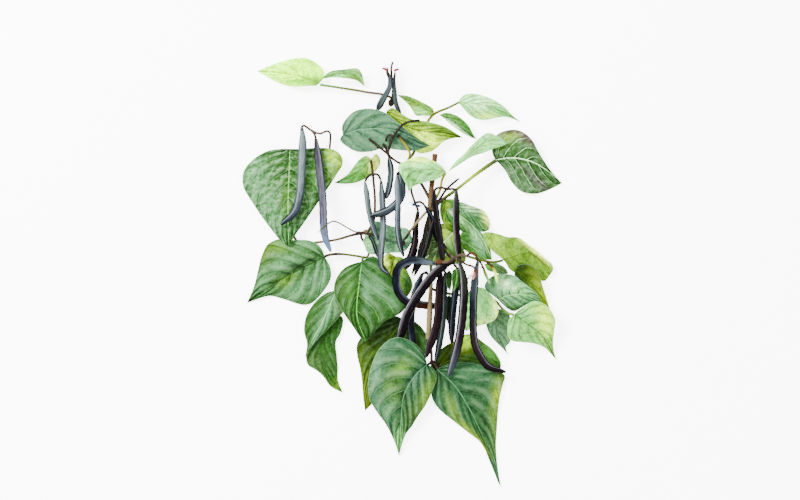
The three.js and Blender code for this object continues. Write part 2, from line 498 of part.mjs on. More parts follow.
// Middle surface of a blade as rows of points, each from the right margin over the rib to the left.
function bladeRows(blade) {
  const rows = blade.large ? LARGE_BLADE_ROWS : BLADE_ROWS;
  const columns = blade.large ? LARGE_BLADE_COLUMNS : BLADE_COLUMNS;
  const rib = curveThrough(blade.rib);
  const base = blade.rib[0];
  const tip = blade.rib[blade.rib.length - 1];
  const leftEdge = curveThrough([base, ...blade.left, tip].map(([x, y]) => [x, y]));
  const rightEdge = curveThrough([base, ...blade.right, tip].map(([x, y]) => [x, y]));
  const grid = [];
  for (let row = 1; row < rows; row += 1) {
    const along = row / rows;
    const onRib = rib.getPointAt(along ** RIB_EASE);
    const line = [];
    for (let column = -columns; column <= columns; column += 1) {
      const across = Math.abs(column) / columns;
      const edge = (column < 0 ? rightEdge : leftEdge).getPointAt(along);
      const rise = column < 0 ? blade.rise[1] : blade.rise[0];
      const reach = Math.hypot(edge.x - onRib.x, edge.y - onRib.y) * across;
      const x = onRib.x + (edge.x - onRib.x) * across;
      const y = onRib.y + (edge.y - onRib.y) * across;
      const z = Math.max(onRib.z + rise * reach, BLADE_THICKNESS / 2);
      line.push([x, y, z]);
    }
    grid.push(line);
  }
  return { grid, base, tip };
}

// Closed blade: the same triangles on its upper and lower face, joined round the margin.
function bladeGeometry(blade) {
  const { grid, base, tip } = bladeRows(blade);
  const width = grid[0].length;
  const half = BLADE_THICKNESS / 2;
  const middle = [base, ...grid.flat(), tip].map(([x, y, z]) => [x, y, Math.max(z, half)]);
  const count = middle.length;
  const positions = [
    ...middle.flatMap(([x, y, z]) => [x, y, z + half]),
    ...middle.flatMap(([x, y, z]) => [x, y, z - half]),
  ];
  const at = (row, column) => 1 + row * width + column;
  const faces = [];
  for (let column = 0; column < width - 1; column += 1) {
    faces.push([0, at(0, column), at(0, column + 1)]);
    faces.push([count - 1, at(grid.length - 1, column + 1), at(grid.length - 1, column)]);
    for (let row = 0; row < grid.length - 1; row += 1) {
      faces.push([at(row, column), at(row + 1, column), at(row + 1, column + 1)]);
      faces.push([at(row, column), at(row + 1, column + 1), at(row, column + 1)]);
    }
  }
  const margin = [0];
  for (let row = 0; row < grid.length; row += 1) {
    margin.push(at(row, 0));
  }
  margin.push(count - 1);
  for (let row = grid.length - 1; row >= 0; row -= 1) {
    margin.push(at(row, width - 1));
  }
  const indices = [];
  for (const [a, b, c] of faces) {
    indices.push(a, b, c, count + a, count + c, count + b);
  }
  margin.forEach((a, step) => {
    const b = margin[(step + 1) % margin.length];
    indices.push(a, count + a, b, b, count + a, count + b);
  });
  return geometryFrom(positions, indices);
}

// Closed tube along a smooth line, with its own width and height at each ring.
function tubeGeometry(curve, start, rings, sides, sizeAt) {
  const positions = [];
  for (let ring = 0; ring <= rings; ring += 1) {
    const along = start + ((1 - start) * ring) / rings;
    const centre = curve.getPointAt(along);
    const direction = curve.getTangentAt(along);
    const sideways = new THREE.Vector3(-direction.y, direction.x, 0).normalize();
    const upwards = new THREE.Vector3().crossVectors(direction, sideways).normalize();
    const [wide, high] = sizeAt(along);
    for (let side = 0; side < sides; side += 1) {
      const angle = (2 * Math.PI * side) / sides;
      const point = centre.clone();
      point.addScaledVector(sideways, wide * Math.cos(angle));
      point.addScaledVector(upwards, high * Math.sin(angle));
      positions.push(point.x, point.y, point.z);
    }
  }
  const indices = [];
  for (let ring = 0; ring < rings; ring += 1) {
    for (let side = 0; side < sides; side += 1) {
      const next = (side + 1) % sides;
      const a = ring * sides + side;
      const b = ring * sides + next;
      indices.push(a, b, b + sides, a, b + sides, a + sides);
    }
  }
  const last = rings * sides;
  for (let side = 1; side < sides - 1; side += 1) {
    indices.push(0, side + 1, side);
    indices.push(last, last + side, last + side + 1);
  }
  return geometryFrom(positions, indices);
}

// Pods swell behind the calyx over their neck, keep their width and narrow to the beak.
function podWidth(along, neck) {
  const swell = Math.min(1, POD_START + ((1 - POD_START) * along) / neck);
  const narrow = Math.min(1, Math.sqrt(Math.max(0, 1 - along) * POD_TAPER) + POD_BEAK);
  return swell * narrow;
}

function podGeometry(pod) {
  const curve = curveThrough(pod.line);
  const length = curve.getLength();
  const rings = Math.ceil(length / POD_RING_STEP) + 1;
  const sizeAt = (along) => {
    const wide = pod.half * podWidth(along, pod.neck ?? POD_NECK);
    return [wide, wide * POD_FLATNESS];
  };
  return tubeGeometry(curve, POD_GAP / length, rings, POD_SIDES, sizeAt);
}

function stemGeometry(line) {
  const rings = line.length;
  const sizeAt = (along) => {
    const place = along * (line.length - 1);
    const index = Math.min(Math.floor(place), line.length - 2);
    const half = THREE.MathUtils.lerp(line[index][3], line[index + 1][3], place - index);
    return [half, half];
  };
  return tubeGeometry(curveThrough(line), 0, rings, STEM_SIDES, sizeAt);
}

function budGeometry([x, y, z, wide, deep, high]) {
  const geometry = new THREE.IcosahedronGeometry(1, BUD_DETAIL);
  geometry.scale(wide, deep, high);
  geometry.translate(x, y, z);
  return geometry;
}

function solidFrom(geometry) {
  const bare = new THREE.BufferGeometry();
  bare.setAttribute("position", geometry.getAttribute("position"));
  bare.setIndex(geometry.getIndex());
  const merged = mergeVertices(bare, SAME_POINT);
  const vertProperties = new Float32Array(merged.getAttribute("position").array);
  const triVerts = new Uint32Array(merged.getIndex().array);
  return new wasm.Manifold(new wasm.Mesh({ numProp: 3, vertProperties, triVerts }));
}

// All stems, stalks and buds joined as one body.
function vineGeometry() {
  const pieces = [...Object.values(stems).map(stemGeometry), ...buds.map(budGeometry)];
  const joined = pieces.map(solidFrom).reduce((whole, piece) => whole.add(piece));
  const mesh = joined.getMesh();
  return geometryFrom(Array.from(mesh.vertProperties), Array.from(mesh.triVerts));
}

function namedMesh(name, geometry, colour, roughness) {
  const material = new THREE.MeshStandardMaterial({ color: colour, roughness, metalness: 0 });
  const mesh = new THREE.Mesh(geometry, material);
  mesh.name = name;
  return mesh;
}

const spray = new THREE.Group();
spray.add(namedMesh("vine_stem", vineGeometry(), STEM_BROWN, STEM_ROUGHNESS));
for (const blade of blades) {
  spray.add(namedMesh(blade.name, bladeGeometry(blade), blade.colour, LEAF_ROUGHNESS));
}
for (const pod of pods) {
  spray.add(namedMesh(pod.name, podGeometry(pod), pod.colour, POD_ROUGHNESS));
}

// The origin is the middle of the spray's underside.
const bounds = new THREE.Box3().setFromObject(spray);
const centre = bounds.getCenter(new THREE.Vector3());
spray.position.set(-centre.x, -centre.y, -bounds.min.z);

export default spray;
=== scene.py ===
"""Dresses the cut leafy spray of climbing beans in blades with veins, glossy pods with painted
highlights and a woody vine.
"""

import bpy
import numpy as np
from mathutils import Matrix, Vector


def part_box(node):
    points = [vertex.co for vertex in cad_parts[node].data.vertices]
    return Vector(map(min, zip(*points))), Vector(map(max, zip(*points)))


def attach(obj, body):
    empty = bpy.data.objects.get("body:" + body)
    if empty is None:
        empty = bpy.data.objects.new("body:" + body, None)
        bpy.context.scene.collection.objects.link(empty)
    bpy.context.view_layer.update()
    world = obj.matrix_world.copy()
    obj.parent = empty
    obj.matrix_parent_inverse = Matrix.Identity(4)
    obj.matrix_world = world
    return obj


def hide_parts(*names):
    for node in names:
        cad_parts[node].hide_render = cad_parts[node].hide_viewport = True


bl_info = {
    "name": "Climbing bean spray",
    "version": (1, 0, 0),
    "blender": (4, 5, 0),
    "location": "3D View > Sidebar > Bean spray",
    "description": "Builds the leaflets, pods, vine and flower remnants of a cut bean spray",
    "category": "Object",
}

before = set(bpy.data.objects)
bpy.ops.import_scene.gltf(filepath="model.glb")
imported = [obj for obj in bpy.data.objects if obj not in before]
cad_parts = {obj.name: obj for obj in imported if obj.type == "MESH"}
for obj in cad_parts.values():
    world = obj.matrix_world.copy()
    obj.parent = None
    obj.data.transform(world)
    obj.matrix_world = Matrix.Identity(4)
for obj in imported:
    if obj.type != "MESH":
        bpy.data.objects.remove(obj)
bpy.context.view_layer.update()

# Shape of the parts: lengths in millimetres, and shares, rates and counts
MM = 0.001
TINY = 1e-9
RIB_EASE = 1.2
CURVE_STEPS = 40
CURVE_NUDGE = 0.004
BLADE_STEP = 1.3
BLADE_FEWEST = 14
VEIN_SLANT = 0.4
VEIN_CROWDING = 0.85
QUILT_FADE = 0.2
QUILT_ROUNDING = 0.8
RIB_GROOVE = 0.35
RIB_GROOVE_WIDTH = 0.9
MARGIN_WAVES = 3.5
WAVE_SHIFT = 1.7
WAVE_POWER = 3
RIM_SHARE = 0.45
RIM_POWER = 4
UNDERSIDE_PALENESS = 0.25
POD_SIDES = 20
POD_STEP = 1.4
POD_NECK = 0.15
POD_NECK_SHARE = 0.4
POD_CUT = 0.03
POD_BEAK_FALL = 4
POD_BEAK_SHARE = 0.14
POD_TIP_SHARE = 0.3
BEAK_STEPS = (0.66, 0.33, 0.1, 0)
SEED_PITCH = 9.0
SEED_SWELL = 0.035
SEEDLESS_END = 0.12
STEM_SIDES = 12
STEM_STEP = 1.3
STEM_FEWEST = 6
STEM_WOBBLE = 0.05
STEM_WOBBLE_RATES = (0.9, 0.37)
BARK_THICKNESS = 0.4
THREAD_STEM = 0.4
THREAD_FADE = 3
STOUT_STEM = 1.5
STOUT_FADE = 1.4
CALYX_SIDES = 15
CALYX_TEETH = 5
CALYX_RINGS = ((-0.8, 0.75), (0.2, 1.25), (1.4, 1.7), (2.6, 1.95), (3.6, 1.9))
CALYX_TOOTH = 1.5
CALYX_AIM = 0.02
CALYX_FIT = 0.95
CALYX_LEAST = 0.8
CALYX_LOOSENESS = 1.12
BUD_SEGMENTS = 16
BUD_RINGS = 10

# Stage in metres, with the camera's lens and sensor in millimetres; a lamp has its name, place,
# size and power in watts
VIEW_WIDTH = 0.8
VIEW_END = 50
LENS = 200.0
SENSOR = 36.0
FLOOR_HALF = 2.5
ROOM_LIGHT = 2.7
LAMPS = (
    ("key_lamp", (-1.5, 1.2, 1.5), 0.9, 330),
    ("fill_lamp", (1.3, -0.6, 2.2), 2.4, 60),
)

# Grain of the finishes: scales of their noises in waves a metre, depth of their bumps in metres,
# and the shift in metres that finds the slopes of the crumpling, which are painted as shade and
# highlight
WASH_SCALE = 95
CRUMPLE_SCALE = 170
NET_SCALE = 330
SPOT_SCALE = 380
MOTTLE_SCALE = 420
WRINKLE_SCALE = 900
BARK_GRAIN_SCALE = 1400
LEAF_GRAIN_SCALE = 1600
POD_GRAIN_SCALE = 1900
FLOOR_GRAIN_SCALE = 40
LEAF_BUMP = 0.0009
POD_BUMP = 0.0005
BARK_BUMP = 0.0006
DRY_BUMP = 0.0004
CRUMPLE_SHIFT = (0.0016, -0.0022, 0.0)

# Stains and tints of the finishes, and how dull or glossy they are: the shadow and highlight tints
# paint shade and highlight, and the deep stains darken both the tone and the painted shade
LEAF_DEEP = (0.28, 0.42, 0.25)
LEAF_SHADOW = (0.1, 0.2, 0.13)
LEAF_LIGHT = (1.6, 1.45, 1.4)
LEAF_HIGHLIGHT = (0.17, 0.3, 0.15)
POD_DEEP = (0.3, 0.28, 0.34)
POD_SEAM_HIGHLIGHT = (0.17, 0.18, 0.2)
BARK_DEEP = (0.35, 0.27, 0.22)
BARK_PALE = (0.24, 0.18, 0.11)
DRY_DEEP = (0.4, 0.33, 0.33)
DRY_PALE = (0.18, 0.13, 0.1)
FLOOR_SPECK = (0.985, 0.985, 0.98)
BARK_ROUGHNESS = 0.6
DRY_ROUGHNESS = 0.5
FLOOR_ROUGHNESS = 0.95
DULL_GLOSS = 0.02
POD_GLOSS = 0.015
FLOOR_GLOSS = 0.1

# How the view shows light: greys from 0 to 1 as shown, and the light that gives each of them
SHOWN = (0.0, 0.1, 0.28, 0.5, 0.68, 0.78, 0.86, 0.925, 0.96)
LIGHT = (0.001, 0.01, 0.05, 0.18, 0.5, 0.93, 1.75, 3.6, 6.0)
VIEW_FLATTEN = 0.2
STUDIO_LIGHT = 5.5
DARKEST = 0.0015
PALEST = 0.95

# Where the tables' middle lies in the frame, from two blade tips that are in both
PURPLE_TIP_X = 0.162
LONG_TIP_Y = -0.237
shift_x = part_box("leaflet_right_purple")[1].x - PURPLE_TIP_X
shift_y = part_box("leaflet_bottom_right")[0].y - LONG_TIP_Y

# Blades: rib from base to tip with heights, left and right outlines in plan, and the rise of
# each half away from the rib.
BLADES = {
    "leaflet_top_left": {
        "rib": [(-81, 166, 9), (-95, 172, 10), (-112, 176, 8), (-143, 179, 0)],
        "left": [(-84, 164), (-90, 164), (-102, 163), (-116, 165), (-131, 172)],
        "right": [(-76, 172), (-77, 180), (-84, 187), (-96, 192), (-112, 190), (-128, 185)],
        "rise": (-0.2, -0.15),
    },
    "leaflet_top_folded": {
        "rib": [(-78, 171, 10), (-64, 175, 11), (-47, 175, 8), (-35, 163, 2)],
        "left": [(-70, 178), (-56, 180), (-42, 181), (-38, 176)],
        "right": [(-66, 172), (-52, 171), (-43, 169)],
        "rise": (0.35, 0.3),
    },
    "leaflet_upper_teal": {
        "rib": [(-57, 115, 15), (-40, 120, 16), (-10, 120, 16), (10, 113, 15), (30, 104, 13)],
        "left": [(-58, 123), (-52, 133), (-44, 139), (-30, 141), (-15, 137), (0, 125), (15, 113)],
        "right": [(-60, 110), (-53, 103), (-43, 98), (-30, 98), (-17, 101), (5, 99), (15, 99)],
        "rise": (-0.08, -0.1),
    },
    "leaflet_upper_lime": {
        "rib": [(-14, 138, 8), (5, 124, 9), (25, 118, 10), (45, 117, 9), (63, 112, 4)],
        "left": [(-8, 142), (0, 137), (11, 131), (28, 128), (45, 123), (57, 116)],
        "right": [(-10, 128), (2, 114), (12, 104), (18, 97), (30, 98), (38, 103), (43, 108), (55, 112)],
        "rise": (-0.1, -0.1),
    },
    "leaflet_top_young": {
        "rib": [(34, 137, 8), (24, 141, 9), (11, 148, 9), (-3, 155, 7)],
        "left": [(30, 134), (22, 134), (16, 134), (10, 143), (3, 150)],
        "right": [(33, 141), (27, 145), (17, 150), (7, 154)],
        "rise": (0.3, 0.3),
    },
    "leaflet_top_narrow": {
        "rib": [(39, 135, 8), (51, 130, 8), (64, 120, 6), (76, 111, 1)],
        "left": [(45, 137), (57, 134), (67, 126), (72, 118)],
        "right": [(43, 132), (52, 124), (62, 117), (70, 113)],
        "rise": (0.3, 0.3),
    },
    "leaflet_top_right": {
        "rib": [(58, 147, 9), (74, 146, 10), (92, 142, 8), (106, 136, 4), (121, 128, 0)],
        "left": [(60, 151), (64, 155), (75, 156), (89, 152), (103, 144), (112, 135)],
        "right": [(63, 142), (68, 136), (76, 131), (86, 130), (96, 132), (106, 133)],
        "rise": (-0.15, -0.2),
    },
    "leaflet_right_folded": {
        "rib": [(48, 78, 14), (66, 93, 16), (84, 106, 17), (97, 110, 17), (109, 107, 16)],
        "left": [(55, 88), (64, 96), (72, 105), (82, 114), (88, 117), (94, 115), (101, 111)],
        "right": [(56, 83), (72, 93), (84, 97), (94, 101), (103, 104)],
        "rise": (-0.25, -0.1),
    },
    "leaflet_right_purple": {
        "rib": [(95, 90, 11), (112, 92, 12), (132, 88, 10), (149, 78, 4), (162, 67, 0)],
        "left": [(92, 97), (92, 108), (98, 116), (110, 120), (120, 119), (131, 111), (139, 97),
            (151, 79)],
        "right": [(100, 85), (105, 79), (112, 67), (122, 58), (135, 56), (146, 59), (155, 63)],
        "rise": (-0.12, -0.18),
    },
    "leaflet_centre_mint": {
        "rib": [(46, 78, 16), (26, 80, 17), (10, 75, 17), (9, 58, 15)],
        "left": [(40, 72), (23, 67), (13, 63)],
        "right": [(41, 84), (33, 89), (22, 93), (8, 90), (-2, 83), (1, 75), (6, 65)],
        "rise": (-0.05, -0.1),
    },
    "leaflet_left_small": {
        "rib": [(-29, 91, 9), (-36, 82, 9), (-50, 73, 6), (-66, 67, 1)],
        "left": [(-24, 96), (-20, 92), (-20, 85), (-25, 78), (-35, 71), (-45, 67), (-56, 66)],
        "right": [(-33, 94), (-40, 91), (-46, 84), (-52, 76), (-59, 71)],
        "rise": (-0.1, -0.1),
    },
    "leaflet_left_large": {
        "rib": [(-110, 101, 9), (-111, 70, 11), (-112, 40, 10), (-111, 3, 7)],
        "left": [(-99, 101), (-84, 102), (-69, 101), (-60, 96), (-57, 87), (-64, 74), (-73, 60),
            (-82, 47), (-95, 28), (-105, 14)],
        "right": [(-119, 101), (-132, 99), (-146, 91), (-156, 79), (-157, 65), (-146, 45), (-132, 25),
            (-120, 10)],
        "rise": (-0.03, -0.14),
    },
    "leaflet_left_mid": {
        "rib": [(-75, -7, 8), (-95, -17, 8), (-116, -28, 5), (-153, -53, 0)],
        "left": [(-70, -16), (-69, -28), (-77, -42), (-88, -53), (-96, -55), (-117, -49), (-130, -46),
            (-142, -49)],
        "right": [(-78, 1), (-84, 7), (-93, 10), (-107, 10), (-121, 11), (-132, 6), (-138, -5),
            (-142, -20), (-146, -36)],
        "rise": (-0.12, -0.14),
    },
    "leaflet_centre_large": {
        "rib": [(-38, -11.5, 11), (-41, -34, 15), (-43, -66, 12), (-34, -92, 6)],
        "left": [(-33, -8), (-27, -6), (-19, -11), (-8, -27), (1, -44), (7, -53), (2, -62),
            (-15, -71), (-26, -82)],
        "right": [(-45, -13), (-55, -17.5), (-63, -27), (-66, -41), (-58, -60), (-48, -75), (-39, -88)],
        "rise": (-0.1, -0.12),
    },
    "leaflet_centre_lime": {
        "rib": [(-5, -6, 5), (-9, -20, 5.5), (-12, -36, 5), (-8, -58, 3)],
        "left": [(3, -8), (7, -20), (12, -31), (12, -39), (4, -50)],
        "right": [(-12, -3), (-18, -10), (-23, -25), (-19, -42)],
        "rise": (-0.05, -0.05),
    },
    "leaflet_lower_left_front": {
        "rib": [(-64, -40, 5), (-71, -57, 8), (-80, -76, 8), (-89, -92, 6), (-95, -108, 4)],
        "left": [(-57, -46), (-54, -58), (-60, -66), (-71, -78), (-85, -92), (-92, -102)],
        "right": [(-74, -43), (-84, -51), (-93, -64), (-96, -80), (-93, -94)],
        "rise": (-0.05, -0.25),
    },
    "leaflet_lower_left_back": {
        "rib": [(-62, -64, 2), (-76, -88, 2), (-78, -108, 2), (-70, -127, 1), (-57, -143, 0)],
        "left": [(-57, -68), (-59, -82), (-64, -92), (-63, -106), (-62, -118), (-62, -130)],
        "right": [(-74, -76), (-88, -93), (-94, -105), (-92, -115), (-84, -120), (-77, -126),
            (-70, -136)],
        "rise": (0.02, -0.04),
    },
    "leaflet_lower_olive": {
        "rib": [(4, -70, 0), (-16, -96, 0), (-29, -126, 0), (-35, -161, 0)],
        "left": [(10, -69), (17, -73), (23, -79), (28, -88), (29, -99), (24, -112), (8, -130),
            (-14, -143), (-28, -154)],
        "right": [(-4, -66), (-18, -71), (-34, -82), (-43, -94), (-43, -105), (-40, -118),
            (-38, -132), (-37, -146)],
        "rise": (0, 0),
    },
    "leaflet_bottom_teal": {
        "rib": [(27, -114, 12), (15, -125, 14), (4, -144, 13), (1, -170, 7), (-1, -206, 0)],
        "left": [(32, -117), (37, -126), (34, -136), (30, -146), (25, -156), (18, -166), (12, -176),
            (6, -184), (2, -195)],
        "right": [(25, -106), (21, -99), (13, -92), (4, -88), (-4, -87), (-13, -91), (-21, -99),
            (-27, -111), (-31, -125), (-32, -138), (-30, -150), (-23, -162), (-15, -173), (-9, -184),
            (-4, -196)],
        "rise": (-0.15, 0.06),
    },
    "leaflet_bottom_right": {
        "rib": [(37, -119, 8), (55, -136, 8), (70, -160, 6), (84, -190, 2), (101, -237, 0)],
        "left": [(45, -115), (54, -113), (65, -112), (77, -114), (90, -119), (101, -122), (105, -126),
            (103, -134), (100, -146), (98, -162), (97, -178), (96, -195), (97, -211), (99, -226)],
        "right": [(34, -127), (31.5, -137), (31.5, -146), (35, -154), (42, -162), (51, -169),
        (61, -177),
            (70, -184), (78, -190), (84, -198), (89, -210), (94, -222), (98, -232)],
        "rise": (-0.08, -0.12),
    },
    "leaflet_bottom_back": {
        "rib": [(38, -115, 4), (58, -108, 3.5), (80, -112, 2.5), (99, -126, 1)],
        "left": [(36, -108), (38, -102), (45, -96), (54, -91), (67, -84), (75, -86), (83, -92),
            (91, -98), (97, -105), (101, -114)],
        "right": [(48, -122), (65, -126), (82, -130), (92, -130)],
        "rise": (-0.06, -0.06),
    },
    "leaflet_right_mint": {
        "rib": [(56, 44, 3), (67, 38, 4), (78, 30, 4), (89, 20, 3)],
        "left": [(60, 48), (69, 45), (78, 42), (84, 39), (88, 33), (90, 26)],
        "right": [(57, 38), (64, 32), (73, 25), (82, 18)],
        "rise": (-0.1, -0.1),
    },
    "leaflet_right_striped": {
        "rib": [(46, 40, 6), (60, 34, 8), (74, 23, 9), (84, 8, 8), (92, -10, 6)],
        "left": [(51, 42), (61, 37), (70, 30), (78, 21), (84, 14), (90, 2)],
        "right": [(45, 33), (51, 26), (61, 19), (70, 9), (78, -1), (85, -9)],
        "rise": (0.1, -0.08),
    },
    "leaflet_right_olive": {
        "rib": [(46, 51, 3), (45, 38, 3.5), (48, 27, 3.5), (57, 16, 2)],
        "left": [(55, 50), (57, 42), (57, 34), (59, 25)],
        "right": [(41, 47), (40, 37), (43, 27), (49, 19)],
        "rise": (0, 0),
    },
    "leaflet_right_green": {
        "rib": [(59, 11, 11), (68, 6, 12), (78, -2, 12), (87, -12, 10)],
        "left": [(62, 18), (71, 15), (80, 7), (85, -4)],
        "right": [(60, 4), (66, -1), (76, -7)],
        "rise": (-0.05, -0.05),
    },
    "leaflet_centre_olive": {
        "rib": [(56, 21, 1), (44, 8, 1.5), (30, -4, 1.5), (17, -15, 0.6)],
        "left": [(61, 13), (63, 3), (66, -7), (64, -13), (50, -14), (34, -16)],
        "right": [(50, 26), (40, 26), (28, 20), (20, 8), (17, -6)],
        "rise": (0, 0),
    },
    "leaflet_right_lime": {
        "rib": [(103, -10, 19), (115, -6, 18), (128, -3, 14), (141, -11, 8), (150, -25, 3)],
        "left": [(97, -5), (90, 1), (86, 6), (83, 12), (83, 17), (88, 18), (94, 17), (101, 15),
            (107, 13), (115, 13), (121, 11), (126, 7), (136, 0), (145, -8), (152, -14), (153, -20)],
        "right": [(106, -14), (109, -19), (115, -23), (127, -28), (138, -30), (145, -31)],
        "rise": (-0.05, -0.5),
    },
    "leaflet_right_dark": {
        "rib": [(115, -20, 14.5), (127, -29, 12.5), (138, -43, 7.5), (150, -60, 0.5)],
        "left": [(117, -16), (122, -14), (130, -15), (136, -20), (140, -28), (143, -38), (147, -50)],
        "right": [(114, -25), (118, -31), (127, -40), (136, -50), (143, -57)],
        "rise": (-0.05, -0.05),
    },
    "leaflet_right_teal": {
        "rib": [(97, -49, 18), (108, -45, 20), (122, -44, 19), (133, -47, 17), (142, -52, 14.5)],
        "left": [(92, -45), (86, -40), (84, -36), (87, -30), (92, -26), (98, -24), (107, -24),
            (115, -26), (121, -31), (128, -36), (136, -43)],
        "right": [(102, -54), (108, -59), (114, -61), (122, -57), (131, -52)],
        "rise": (-0.03, -0.3),
    },
    "leaflet_right_pale": {
        "rib": [(114, -64, 20), (129, -75, 18), (143, -87, 10), (156, -110, 0)],
        "left": [(118, -60), (124, -56), (132, -51), (140, -52), (147, -56), (152, -63), (155, -70),
            (154, -80), (153, -95)],
        "right": [(109, -69), (107, -78), (108, -87), (113, -91), (122, -92), (136, -94), (145, -98),
            (151, -104)],
        "rise": (0.02, -0.15),
    },
    "leaflet_right_round": {
        "rib": [(79, -37, 13), (79, -50, 14), (75, -64, 13), (66, -81, 10)],
        "left": [(84, -38), (91, -45), (97, -54), (98, -62), (95, -69), (88, -73), (77, -76)],
        "right": [(73, -38), (66, -45), (62, -55), (61, -66), (62, -75)],
        "rise": (-0.02, -0.02),
    },
    "leaflet_right_hanging": {
        "rib": [(94, -60, 6), (96, -78, 5), (101, -92, 3), (108, -105, 0.5)],
        "left": [(101, -59), (109, -64), (110, -78), (110, -92), (106, -97)],
        "right": [(88, -64), (86, -74), (89, -83), (93, -89), (99, -95), (104, -100)],
        "rise": (-0.05, -0.05),
    },
    "leaflet_right_tiny": {
        "rib": [(84, -14, 13), (93, -16, 13), (101, -19, 12), (108, -23, 11)],
        "left": [(91, -12), (101, -15), (106, -19)],
        "right": [(87, -20), (96, -23), (104, -25)],
        "rise": (-0.05, -0.05),
    },
    "small_leaf_front": {
        "rib": [(55.5, -18.5, 31.8), (56.3, -25, 30.8), (55.5, -32, 29), (53, -41.5, 26.5)],
        "left": [(58, -20.5), (60, -26), (59, -33), (56, -38)],
        "right": [(52.5, -20), (51.5, -26), (51.5, -33), (52, -38)],
        "rise": (-0.1, -0.1),
    },
    "small_leaf_dark": {
        "rib": [(49, -20, 25), (48.5, -27, 24), (48.5, -34, 22.5), (50, -41, 20)],
        "left": [(51.5, -23), (51.5, -29), (51, -36)],
        "right": [(46, -23), (45.5, -30), (46.5, -36)],
        "rise": (-0.1, -0.1),
    },
    "small_leaf_shaded": {
        "rib": [(32, -110.5, 5.6), (35.5, -114, 4.4), (37, -120, 4), (38, -128, 4)],
        "left": [(38, -110), (41, -115), (41, -122)],
        "right": [(31, -112), (31, -118), (34, -125)],
        "rise": (-0.1, -0.1),
    },
    "small_leaf_low": {
        "rib": [(49, -45, 7.4), (48.5, -55, 6.6), (48, -66, 5.4), (49, -77, 4)],
        "left": [(52.5, -48), (53, -56), (52, -66)],
        "right": [(45.5, -48), (45, -56), (45.5, -66)],
        "rise": (-0.1, -0.1),
    },
    "leaflet_centre_teal": {
        "rib": [(13, 10, 2.5), (-5, 12, 3.5), (-20, 11, 4), (-37, 8, 4)],
        "left": [(5, -1), (-10, -3), (-22, -4), (-32, -3)],
        "right": [(8, 21), (-5, 23), (-15, 26), (-24, 29), (-32, 22)],
        "rise": (-0.05, -0.05),
    },
}

# Small leaves that are in the dressed spray only
SMALL_LEAVES = ("small_leaf_front", "small_leaf_dark", "small_leaf_shaded", "small_leaf_low")

